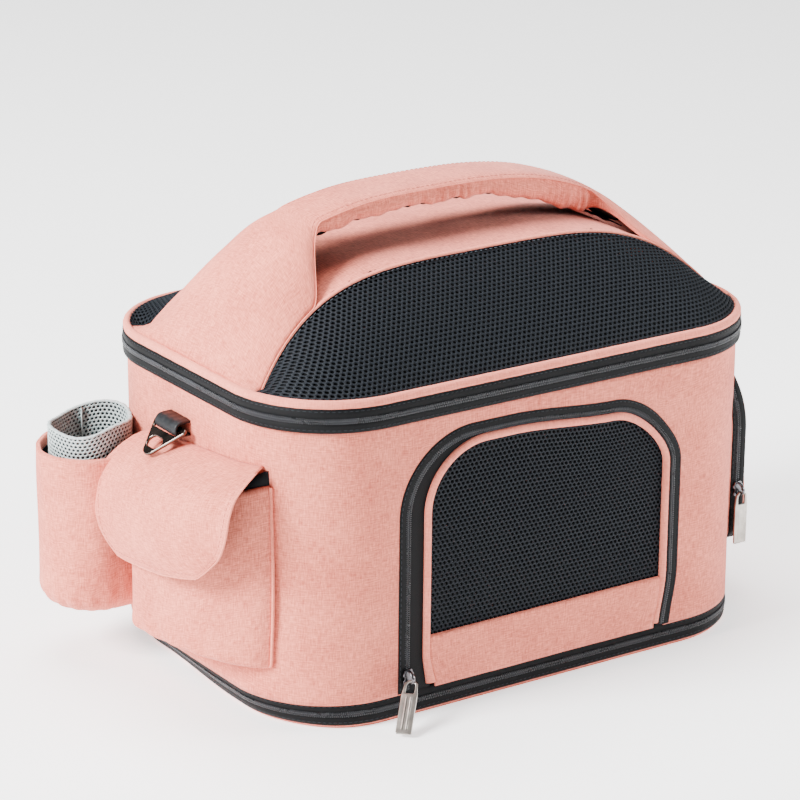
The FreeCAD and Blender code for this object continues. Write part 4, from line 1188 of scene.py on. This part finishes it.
def make_sleeve():
    """The grey bottle sleeve: an outer and an inner net over a soft core, a rolled mouth and a seam."""
    radius, low, high = 30.4, 50.0, 180.0
    length = 2 * math.pi * radius

    def top_edge(angle):
        return high - 3.0 - 3.2 * np.cos(angle) + 1.6 * np.sin(3 * angle + 0.7)

    def surface_at(scale):
        def surface(u, v):
            angle = u / radius
            lift = np.clip(v / (high - low), 0, 1)
            squeeze = 1.6 * np.cos(2 * angle + 0.8) * lift + 0.9 * np.sin(5 * angle) * lift ** 3
            r = radius * scale + squeeze
            z = low + lift * (top_edge(angle) - low)
            return np.stack([BOTTLE_X - r * np.cos(angle), BOTTLE_Y + r * np.sin(angle), z], axis=1)
        return surface

    outer, inner, core = surface_at(1.0), surface_at(0.93), surface_at(0.965)

    def inside(u, v):
        return (u < length + 1.0) & (v < high - low - 1.0)

    def mirrored(u, v):
        return outer(-u, v)

    net("sleeve_outer_net", mirrored, length, high - low, inside, 3.3, 0.58, GREY_NET, "shell",
        ["bottle_sleeve"], thick=0.6)
    net("sleeve_inner_net", inner, length, high - low, inside, 3.3, 0.58, GREY_NET, "shell", thick=0.6)
    u = np.linspace(0, length, 90)
    v = np.linspace(0.5, high - low - 1.2, 36)
    grid = np.array([core(np.full(len(v), a), v) for a in u])
    body = sheet_piece("sleeve_core", grid, GREY_CORE, "shell")
    angle = np.linspace(0, 2 * math.pi, 97)[:-1]
    rim = core(angle * radius, np.full(96, high - low - 0.4))
    mouth = Line(rim, (0, 0, 1), outwards(rim, BOTTLE_X, BOTTLE_Y), True)
    sweep("sleeve_top_fold", mouth, oval(1.0, 1.5, 10), GREY_NET, "shell", waves=0.35)
    spots = outer(np.full(30, 0.6 * math.pi * radius), np.linspace(60, high - low - 2, 30))
    strip = [(-4.5, 0.2), (-4.2, 0.9), (4.2, 0.9), (4.5, 0.2), (4.2, -0.4), (-4.2, -0.4)]
    sweep("sleeve_seam_strip", Line(spots, (0.6, 0.8, 0.0), (-0.31, 0.95, 0.0)), strip, GREY_NET, "shell")


# ---------------------------------------------------------------- flap pocket

# The pouch's plan, (x, y), from the wall at the back round to the wall at the front.
POUCH_PLAN = ((-210.4, 25.0), (-222.0, 26.0), (-238.0, 24.5), (-246.5, 18.0), (-247.0, 0.0), (-244.0, -28.0),
              (-236.0, -56.0), (-224.0, -79.0), (-211.5, -93.0), (-202.0, -96.6))


def rounded_curve(points, times=3):
    """Cuts a polygon's corners, keeping its ends, until it reads as a smooth curve."""
    curve = np.asarray(points, float)
    for _ in range(times):
        left = curve[:-1] * 0.75 + curve[1:] * 0.25
        right = curve[:-1] * 0.25 + curve[1:] * 0.75
        mixed = np.stack([left, right], axis=1).reshape(-1, curve.shape[1])
        curve = np.concatenate([curve[:1], mixed, curve[-1:]])
    return curve


def pouch_grid(inset=0.0, low=40.0, high=166.0, lip=0.0):
    """The pouch's cloth, from the wall round to the wall; the lip raises its front end."""
    full = even(rounded_curve(POUCH_PLAN), 60)
    flat = np.stack([wall_x(full[:, 1]) - 0.4, full[:, 1]], axis=1)
    turn = 7.5
    levels = np.concatenate([low + turn * (1 - np.cos(np.linspace(0.0, math.pi / 2, 9))),
                             np.linspace(low + turn + 3, high, 30)])
    rows = []
    for z in levels:
        fill = math.sqrt(max(1 - ((low + turn - z) / turn) ** 2, 0.0)) if z < low + turn else 1.0
        fill *= 1 - 0.08 * float(smooth(110, high, z))
        share = np.linspace(0, 1, 60)
        top = 11.0 * smooth(0.72, 1.0, share) * smooth(high - 40, high, z)
        top = top + lip * smooth(0.78, 0.97, share) * smooth(high - 12, high, z)
        swell = 1.3 * soft(share * 150, z * 1.2, 0.0) * np.sin(np.pi * share)
        gather = math.exp(-((z - low - 9) / 9.0) ** 2)
        wrinkle = 0.9 * np.sin(share * 46 + z * 0.2) * gather * np.sin(np.pi * share)
        plan = flat + (full - flat) * fill
        out = np.stack([-np.ones(60), -0.35 * share], axis=1)
        plan = plan + out * (swell + wrinkle - inset)[:, None] * fill
        bow = 2.6 * math.sin(math.pi * (z - low) / (high - low))
        plan[:, 1] += smooth(0.8, 1.0, share) * (5.0 * (1 - fill) - bow)
        rows.append(columns(*plan.T, z + top + 4.0 * (1 - fill) * share))
    return np.array(rows).transpose(1, 0, 2)


def make_flap_pocket():
    """The gathered pouch on the left end, its lining, hem, front rib and fastener pad."""
    grid = pouch_grid()
    pouch = sheet_piece("pouch_cloth", grid[::-1], PINK, "shell", ["flap_pocket"], 1.4)
    inner = pouch_grid(2.2, 44.0, 164.5, 12.5)
    lining = sheet_piece("pouch_lining", inner[::-1], LINING, "shell", ["flap_pocket_lining"], 0.5)
    hem = Line(grid[:, -1], (0, 0, 1), side_way(grid[:, -1]))
    sweep("pouch_hem", hem, [(-7.2, 0.1), (-6.8, 0.5), (-0.3, 0.6), (0.4, 0.0), (0.2, -1.6), (-6.8, -1.7)],
          PINK, "shell")
    stitches("pouch_hem_seam", hem.shifted(-5.6, 0.5), "shell")
    edge = grid[-1, 3:] + np.array([-0.8, -1.4, 0.0])
    rib = Line(edge, (-0.5, -0.86, 0), (-0.86, 0.5, 0))
    sweep("pouch_front_rib", rib, oval(1.9, 1.2, 8), PINK_TRIM, "shell")
    inside = grid[-6, 5:] + np.array([-0.5, -0.4, 0.0])
    stitches("pouch_front_seam", Line(inside, (0.5, -0.86, 0), (-0.6, -0.8, 0)), "shell", thick=0.24)
    patch = patch_on(grid, 32, 22)
    pad = sheet_piece("pouch_loop_pad", patch + (-0.6, 0, 0), TOUCH, "shell", ["pocket_loop_pad"], 0.6)


def side_way(points):
    """Directions out of a wall-hung pocket, level and square to its edge."""
    along = np.gradient(points, axis=0)
    out = np.stack([-np.abs(along[:, 1]), np.where(along[:, 0] > 0, -1, 1) * np.abs(along[:, 0]),
                    np.zeros(len(points))], axis=1)
    out /= np.maximum(np.linalg.norm(out, axis=1)[:, None], 1e-9)
    return out


def pouch_depth(face, y, z):
    """The x of the pouch face's point nearest a given y and height."""
    gap = (face[..., 1] - y) ** 2 + (face[..., 2] - z) ** 2
    return face[np.unravel_index(gap.argmin(), gap.shape)][0]


def patch_on(pouch, width, height):
    """A small upright rectangle laid on the pouch's face."""
    levels = np.linspace(-height / 2, height / 2, 7) + 125
    rows = []
    for y in np.linspace(-width / 2, width / 2, 9) - 25:
        depth = np.mean([pouch_depth(pouch[12:50], y, z) for z in levels])
        rows.append(columns(depth, y, levels))
    return np.array(rows)


# The flap's section, (out, up) from the hinge, and how far forward and back it reaches, (down, along y).
FLAP_FALL = ((0.0, 0.5), (6.0, -0.2), (16.0, -4.0), (28.0, -10.0), (38.5, -18.0), (44.5, -30.0),
             (46.5, -46.0), (46.5, -64.0), (44.5, -83.0))
FLAP_FRONT = ((0, -91.5), (14, -97), (34, -102), (62, -105), (82, -99), (100, -86), (112, -73), (118, -66))
FLAP_REAR = ((0, 50), (16, 53.5), (45, 56.0), (70, 56.0), (88, 52), (101, 42), (110, 27), (116, 4))


def flap_point(y, q, fall, lengths, inset=0.0):
    """A point of the flap, from its distance along the hinge and down the cloth."""
    out, down = (np.interp(q, lengths, fall[:, k]) for k in range(2))
    way_out, way_down = (np.interp(q + 0.5, lengths, fall[:, k]) - np.interp(q - 0.5, lengths, fall[:, k])
                         for k in range(2))
    size = np.maximum(np.hypot(way_out, way_down), 1e-6)
    deep = 1 - 0.16 * smooth(-30, -100, y) - 0.05 * smooth(10, 52, y)
    base = wall_x(np.clip(y, -92, 63)) - 0.5
    level = 181.5 - 0.098 * y - 0.04 * y * np.clip(q / 118.0, 0, 1)
    out, down = out + inset * way_down / size, down - inset * way_out / size
    x = base - out * deep
    return np.stack([x, y + 0 * q, level + down], axis=-1)


def flap_grid(inset=0.0, shrink=0.0):
    """The flap's cloth: rows down from the hinge, columns from its front edge to its rear one."""
    fall = even(rounded_curve(FLAP_FALL), 90)
    lengths = cumulative(fall)
    ends = [even(rounded_curve(side, 2), 90) for side in (FLAP_FRONT, FLAP_REAR)]
    q = np.linspace(0.0, min(lengths[-1], 117.0) - shrink, 56)
    t = np.linspace(0, 1, 66)
    front = np.interp(q, ends[0][:, 0], ends[0][:, 1]) + shrink
    rear = np.interp(q, ends[1][:, 0], ends[1][:, 1]) - shrink
    y = front[:, None] * (1 - t[None, :]) + rear[:, None] * t[None, :]
    round_end = 4.0 * ((t - 0.55) / 0.55) ** 2
    depth = q[:, None] - (round_end[None, :] * smooth(80, 117, q)[:, None])
    ripple = 0.8 * soft(y * 1.4, depth * 1.5, 0.0) * smooth(10, 40, depth)
    points = flap_point(y, depth, fall, lengths, inset)
    points[..., 0] -= ripple
    return points


def make_flap():
    """The flap over the pouch: outer cloth bent at the hinge, lining, turned edges and hook patch."""
    grid = flap_grid()
    outer = sheet_piece("flap_cloth", grid[:, ::-1], PINK, None)
    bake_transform(outer)
    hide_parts("pocket_flap")
    thicken(outer, 1.0)
    inner = sheet_piece("flap_lining", flap_grid(1.4, 0.8)[6:, ::-1], LINING, "flap",
                        ["pocket_flap_lining"], 0.5)
    for name, column, way in (("front", 0, (0, -1, 0)), ("rear", -1, (0, 1, 0))):
        turned_edge(f"flap_{name}_edge", grid[6:, column], way)
    turned_edge("flap_low_edge", grid[-1], (0, 0, -1))
    seam = np.concatenate([grid[8:-3, 2], grid[-3, 3:-3], grid[8:-3, -3][::-1]])
    stitches("flap_seam", Line(seam, (0, 1, 0), (-1, 0, 0.12)), "flap")
    pad = flap_grid(2.4, 0.8)[34:46, 22:40]
    hook = sheet_piece("flap_hook_patch", pad[:, ::-1], TOUCH, "flap", ["flap_hook_pad"], 0.5)


def turned_edge(name, spots, way):
    """The turned, stitched edge of a flap: a thin soft roll."""
    sweep(name, Line(spots, way, (-1, 0, 0)), oval(0.9, 0.95, 8, -0.7), PINK_TRIM, "flap")


# ---------------------------------------------------------------- rings and zip hardware

def plate(name, outline, holes, thick, rounding, place, material, body, node):
    """A flat casting: a 2D outline with holes, thickened, its edges rounded, set by a point and two axes."""
    curve = bpy.data.curves.new(name, "CURVE")
    curve.dimensions, curve.fill_mode = "2D", "BOTH"
    curve.extrude = (thick / 2 - rounding) * MM
    curve.bevel_depth, curve.bevel_resolution = rounding * MM, 3
    curve.offset = -rounding * MM
    for loop in (outline, *holes):
        spline = curve.splines.new("POLY")
        spline.points.add(len(loop) - 1)
        for point, (a, b) in zip(spline.points, loop):
            point.co = (a * MM, b * MM, 0.0, 1.0)
        spline.use_cyclic_u = True
    holder = bpy.data.objects.new(name + "_curve", curve)
    bpy.context.scene.collection.objects.link(holder)
    bpy.context.view_layer.update()
    shape = bpy.data.meshes.new_from_object(holder)
    bpy.data.objects.remove(holder)
    bpy.data.curves.remove(curve)
    spot, first, second = (np.asarray(part, float) for part in place)
    third = np.cross(first, second)
    points = np.array([vertex.co for vertex in shape.vertices])
    faces = [tuple(polygon.vertices) for polygon in shape.polygons]
    bpy.data.meshes.remove(shape)
    placed = spot + (points[:, :1] * first + points[:, 1:2] * second + points[:, 2:] * third) / MM
    item = new_piece(name, placed, faces, material, body, None, [node])
    weld(item)
    split = item.modifiers.new("crease", "EDGE_SPLIT")
    split.split_angle = math.radians(38)


def circles_hull(circles):
    """The outline round several circles, (x, y, radius) each, as a string pulled tight round them."""
    spots = []
    for x, y, r in circles:
        spots += [(x + r * math.cos(a), y + r * math.sin(a))
                  for a in np.linspace(0, 2 * math.pi, 56, endpoint=False)]
    spots = sorted(set(spots))

    def half(points):
        chain = []
        for p in points:
            while len(chain) > 1 and ((chain[-1][0] - chain[-2][0]) * (p[1] - chain[-2][1])
                                      - (chain[-1][1] - chain[-2][1]) * (p[0] - chain[-2][0])) <= 0:
                chain.pop()
            chain.append(p)
        return chain[:-1]

    return half(spots) + half(spots[::-1])


def make_ring(name, side, angle):
    """A flat triangular strap ring: its bar lies in the webbing and its eye hangs down and out."""
    angle = math.radians(angle)
    spot = (side * TAB_X, TAB_Y, TAB_Z)
    across, up = (0.0, 1.0, 0.0), (-side * math.sin(angle), 0.0, math.cos(angle))
    outline = circles_hull([(17.0, -1.4, 2.9), (-17.0, -1.4, 2.9), (0.0, -21.0, 7.3)])
    slot_hole = circles_hull([(12.9, -4.8, 2.1), (-12.9, -4.8, 2.1)])
    eye = circles_hull([(3.2, -17.4, 4.5), (-3.2, -17.4, 4.5)])
    plate(f"{name}_plate", outline, [slot_hole, eye], 2.6, 1.05, (spot, across, up), GUNMETAL, name, name)


def make_tab(name, side, node):
    """The smooth black strap rolled round a ring's bar, its ends held in the wall."""
    y = np.linspace(-4.0, 24.0, 26)
    rows = []
    for spot in y:
        end = min(spot + 4.0, 24.0 - spot)
        tight = 0.7 * math.exp(-end / 0.8)
        wave = 0.12 * math.sin(spot * 0.9)
        profile = [(TAB_X - 6.6 - 0.5, 6.2 - tight + wave)]
        for a in np.linspace(90, -90, 17):
            r = 6.0 - tight + wave
            profile.append((TAB_X + r * math.cos(math.radians(a)), r * math.sin(math.radians(a))))
        profile.append((TAB_X - 6.6 - 0.5, -6.0 + tight))
        rows.append([(side * x, TAB_Y + (spot - 10.0), TAB_Z + z) for x, z in profile])
    grid = np.array(rows)
    if side < 0:
        grid = grid[::-1]
    tab = sheet_piece(f"{name}_roll", grid[::-1], STRAP, "shell", [node], 1.9)


# The right half of a slider's outline, (across, along), from its nose to its heel.
SLIDER_HALF = ((1.9, 6.0), (3.2, 5.5), (3.5, 3.9), (4.5, 2.8), (4.5, 1.1), (3.3, 0.3), (3.1, -1.6),
               (4.2, -2.6), (4.3, -4.6), (3.2, -5.7), (1.6, -6.0))


def make_slider(name, spot, out, along, across, body, node):
    """A zip slider: a waisted plate over the teeth, another under it, and a domed bail on top."""
    spot, out, along, across = (np.asarray(part, float) for part in (spot, out, along, across))
    outline = [*SLIDER_HALF, *((-x, y) for x, y in reversed(SLIDER_HALF))]
    plate(f"{name}_plate", outline[::-1], [], 1.7, 0.65, (spot + out * 2.1, across, along), CASTING, body,
          node)
    up = np.array((0.0, 0.0, 1.0))
    side = np.cross(up, out)
    path = np.array([spot + up * (4.8 - 9.6 * t) + out * (2.7 + 6.4 * math.sin(math.pi * t) ** 0.62)
                     for t in np.linspace(0, 1, 25)])
    run = np.gradient(path, axis=0)
    run /= np.linalg.norm(run, axis=1)[:, None]
    sweep(f"{name}_bail", Line(path, side, np.cross(run, side)), oval(1.35, 0.7, 12), CASTING, body)


def arch_corners(half, top, bottom, radius, low_radius):
    """The corners of a closed arch, counterclockwise: centre across and up, radius, first angle."""
    return ((half - radius, top - radius, radius, 0), (radius - half, top - radius, radius, 90),
            (low_radius - half, bottom + low_radius, low_radius, 180),
            (half - low_radius, bottom + low_radius, low_radius, 270))


def arch_loop(*arch):
    """A closed outline, round at the top and slightly rounded at the bottom."""
    loop = []
    for cx, cy, r, start in arch_corners(*arch):
        loop += [(cx + r * math.cos(math.radians(a)), cy + r * math.sin(math.radians(a)))
                 for a in np.linspace(start, start + 90, 10)]
    return loop


def make_pull(name, pivot, down, across, body, node):
    """A flat satin pull: a narrow looped top, a window, a long body with a groove, a square foot."""
    pivot, down, across = (np.asarray(part, float) for part in (pivot, down, across))
    up = -down
    shoulder = [(3.4 * math.sin(a), 1.0 - 2.4 * (1 - math.cos(a))) for a in np.linspace(0.25, 1.35, 7)]
    sides = [(4.7, -1.6), (5.1, -6.0), (5.75, -11.0), (5.75, -39.5)]
    foot = [(5.75 - 1.2 + 1.2 * math.cos(a), -39.7 - 1.2 * math.sin(a))
            for a in np.linspace(0.2, math.pi / 2, 5)]
    right = [(0.0, 1.0), *shoulder, *sides, *foot]
    loop = right + [(-x, y) for x, y in reversed(right[1:])]
    window = arch_loop(3.1, -0.8, -9.6, 3.0, 1.2)
    plate(f"{name}_plate", loop[::-1], [window], 1.8, 0.5, (pivot, across, up), SATIN, body, node)
    face = np.cross(across, up)
    ridges = [(-2.6, -0.3), (-2.3, 0.22), (-1.2, 0.3), (-0.7, -0.1), (0.7, -0.1), (1.2, 0.3), (2.3, 0.22),
              (2.6, -0.3)]
    for side, label in ((1, "face"), (-1, "back")):
        y = np.linspace(-12.5, -37.5, 12)
        groove = Line(pivot + up * y[:, None] + face * side * 0.88, across, face * side)
        sweep(f"{name}_{label}_ridge", groove, ridges, SATIN, body)


def pull_axes(heading, yaw, swing):
    """A pull's down and across directions, turned out of a front wall facing -Y."""
    heading, yaw, swing = (math.radians(angle) for angle in (heading, yaw, swing))
    down = np.array([-math.sin(yaw) * math.sin(swing), -math.cos(yaw) * math.sin(swing), -math.cos(swing)])
    across = np.array([math.cos(yaw), -math.sin(yaw), 0.0])
    c, s = math.cos(heading), math.sin(heading)
    turn = np.array([[c, -s, 0], [s, c, 0], [0, 0, 1]])
    return turn @ down, turn @ across


def make_hardware():
    """Both strap rings with their tabs, and a slider with its pull on each zip."""
    make_ring("left_ring", -1, 50.5)
    make_ring("right_ring", 1, 65.0)
    make_tab("left_tab", -1, "left_ring_tab")
    make_tab("right_tab", 1, "right_ring_tab")
    zips = [
        ("door", (-116.0, -138.0, 31.0), 0, 45.0, 49.0, True),
        ("lid", (213.0, -18.0, 229.0), 90, 0.0, 0.0, False),
        ("base", (209.0, 40.0, 10.5), 90, 0.0, 79.0, False),
        ("end", (221.5, -84.0, 86.0), 0, 0.0, 0.0, True),
    ]
    for name, spot, heading, yaw, swing, upright in zips:
        out = np.array((0.0, -1.0, 0.0) if heading == 0 else (1.0, 0.0, 0.0))
        level = np.array((1.0, 0.0, 0.0) if heading == 0 else (0.0, 1.0, 0.0))
        rise = np.array((0.0, 0.0, 1.0))
        along, across = (rise, level) if upright else (level, rise)
        make_slider(f"{name}_slider", spot, out, along, across, f"{name}_slider", f"{name}_zip_slider")
        down, side = pull_axes(heading, yaw, swing)
        pivot = np.asarray(spot) + out * 6.5 + rise * -1.8
        make_pull(f"{name}_pull", pivot, down, side, f"{name}_pull", f"{name}_zip_pull")


# ---------------------------------------------------------------- right end pocket

def closed_arch(inset, level):
    """The right pocket's outline as a closed line on the bag's end."""
    corners = arch_corners(84.0 - inset, 184.0 - inset, 44.0 + inset, 52.0 - inset, max(9.0 - inset, 3))
    spots, ways = [], []
    for k, (cy, cz, cr, start) in enumerate(corners):
        for a in np.linspace(start, start + 90, 22 if cr > 20 else 8):
            way = (math.cos(math.radians(a)), math.sin(math.radians(a)))
            spots.append((cy + cr * way[0], cz + cr * way[1]))
            ways.append(way)
        after = corners[(k + 1) % 4]
        way = (math.cos(math.radians(start + 90)), math.sin(math.radians(start + 90)))
        last = spots[-1]
        goal = (after[0] + after[2] * way[0], after[1] + after[2] * way[1])
        for t_step in np.linspace(0, 1, 22)[1:-1]:
            spots.append((last[0] + (goal[0] - last[0]) * t_step, last[1] + (goal[1] - last[1]) * t_step))
            ways.append(way)
    spots, ways = np.array(spots), np.array(ways)
    return Line(columns(level, *spots.T), (1.0, 0.0, 0.0), columns(0.0, *ways.T), closed=True)


def make_end_pocket():
    """The zipped pocket on the right end: gusset, zip bands and teeth, piping and puffed face."""
    path = closed_arch(0.0, 0.0)
    root = -wall_x(path.points[:, 1]) - 0.5
    rows = []
    for t in np.linspace(0, 1, 7):
        x = root * (1 - t) + 216.3 * t
        rows.append(np.column_stack([x, path.points[:, 1:] + path.out[:, 1:] * 0.35 * math.sin(math.pi * t)]))
    grid = np.array(rows).transpose(1, 0, 2)
    wall = sheet_piece("end_pocket_side", grid, PINK, "shell", ["end_pocket_gusset"], 1.2, closed=True)
    inner_tape = [(215.8, -1.5), (215.8, 0.3), (216.4, 0.6), (220.9, 0.6), (221.2, 0.2), (221.2, -1.5)]
    sweep("end_pocket_band", path, inner_tape, BLACK_TAPE, "shell", ["end_pocket_zip_tape"])
    outer_tape = [(221.8, -1.5), (221.8, 0.2), (222.1, 0.6), (228.0, 0.5), (229.2, -0.2), (229.4, -2.0),
                  (228.0, -2.2)]
    sweep("end_pocket_outer_band", path, outer_tape, BLACK_TAPE, "shell")
    coil = closed_arch(-0.4, END_COIL)
    upper = coil.points[:, 2] > 50
    coil = Line(coil.points[upper], coil.across[upper], coil.out[upper])
    zip_teeth("end_pocket_inner_teeth", coil, -1, "shell", ["end_pocket_zip_coil"])
    zip_teeth("end_pocket_outer_teeth", coil, 1, "shell")
    rim = closed_arch(2.6, 229.4)
    sweep("end_pocket_piping", rim, oval(1.3, 1.5, 10), PINK_TRIM, "shell")
    edge_line = closed_arch(3.0, 0.0)
    middle = np.array([0.0, 0.0, 114.0])
    rows = []
    for t in np.linspace(1.0, 0.0005, 27):
        spots = middle + (edge_line.points - middle) * t
        dome = 5.0 * (1 - t ** 5) * (0.45 + 0.55 * smooth(150.0, 90.0, spots[:, 2]))
        dome = dome + 8.0 * (1 - t ** 13) * smooth(128.0, 76.0, spots[:, 2])
        uneven = 0.7 * soft(spots[:, 1] * 1.2, spots[:, 2] * 1.3, 0.0) * (1 - t ** 4)
        rows.append(columns(END_FACE + dome + uneven, *spots[:, 1:].T))
    grid = np.array(rows).transpose(1, 0, 2)
    panel = sheet_piece("end_pocket_face", grid[::-1], PINK, "shell", ["end_pocket_panel"], 1.2, closed=True)
    seam = closed_arch(5.6, 230.4)
    stitches("end_pocket_seam", Line(seam.points, seam.out, (1.0, 0.0, 0.0), True), "shell")
    stitches("end_pocket_band_seam", closed_arch(-0.6, 217.4), "shell", DARK_THREAD)


# ---------------------------------------------------------------- floor mat

def make_mat():
    """The loose mat: a flat cushion puffed up by a short cloth simulation."""
    low, high, inset = 7.6, 17.0, 14.0
    plan, _ = round_plan(inset, 9.0)
    plan = np.array(plan) * np.array([(HALF_LENGTH - inset - 2) / (HALF_LENGTH - inset), 1.0])
    rings = [(0.97, low), (1.0, low + 2.5), (1.0, high - 2.5), (0.97, high)]
    points = np.concatenate([columns(*(plan * scale).T, z) for scale, z in rings])
    count = len(plan)
    faces = []
    for k in range(len(rings) - 1):
        for i in range(count):
            j = (i + 1) % count
            faces.append((k * count + i, k * count + j, (k + 1) * count + j, (k + 1) * count + i))
    faces += [tuple(reversed(range(count))), tuple(range((len(rings) - 1) * count, len(rings) * count))]
    mat = new_piece("mat_cushion", points, faces, PLUSH, None)
    remesh = mat.modifiers.new("even", "REMESH")
    remesh.mode, remesh.voxel_size = "VOXEL", 0.006
    bake(mat)
    start = np.array([vertex.co for vertex in mat.data.vertices])
    cloth = mat.modifiers.new("puff", "CLOTH")
    cloth.settings.use_pressure = True
    cloth.settings.uniform_pressure_force = 4.0
    cloth.settings.mass = 0.25
    cloth.settings.effector_weights.gravity = 0.0
    cloth.point_cache.frame_start, cloth.point_cache.frame_end = 1, 20
    scene = bpy.context.scene
    for frame_number in range(1, 21):
        scene.frame_set(frame_number)
    bake(mat)
    scene.frame_set(1)
    points = np.array([vertex.co for vertex in mat.data.vertices])
    move = points - start
    size = np.linalg.norm(move, axis=1)
    points = start + move * np.minimum(1.0, 0.0022 / np.maximum(size, 1e-9))[:, None]
    points[:, 2] = np.clip(points[:, 2], 0.00655, 0.0192)
    mat.data.vertices.foreach_set("co", points.astype(np.float32).ravel())
    mat.data.update()
    fine = mat.modifiers.new("fine", "SUBSURF")
    fine.levels = fine.render_levels = 1
    bake(mat)
    mat.data.polygons.foreach_set("use_smooth", [True] * len(mat.data.polygons))
    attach(mat, "mat")
    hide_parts("floor_mat")


def bake(item):
    """Applies an object's modifiers."""
    bpy.context.view_layer.update()
    graph = bpy.context.evaluated_depsgraph_get()
    shape = bpy.data.meshes.new_from_object(item.evaluated_get(graph))
    item.modifiers.clear()
    old = item.data
    item.data = shape
    bpy.data.meshes.remove(old)


make_camera()
make_studio()
make_base()
make_top_band()
make_walls()
make_door()
slump_front("wall_outer_cloth", "wall_inner_lining", "door_frame_band", "door_frame_teeth", "door_frame_seam",
            "door_teeth", "door_band", "door_cord", "door_cord_seam", "door_net_front", "door_net_back",
            "door_foot_panel", "door_panel_fold", "door_panel_seam")
make_roof()
make_cover()
make_handle_inside()
make_bottle_pocket()
make_sleeve()
make_flap_pocket()
make_flap()
make_hardware()
make_end_pocket()
make_mat()
hinge_cloth("lid_hinge_cloth", 141.6, WALL_TOP + 0.5, BAND_TOP - 0.5, ["lid_hinge_tape"])
hinge_cloth("base_hinge_cloth", 137.6, 4.0, WALL_BOTTOM - 0.5, ["base_hinge_tape"])
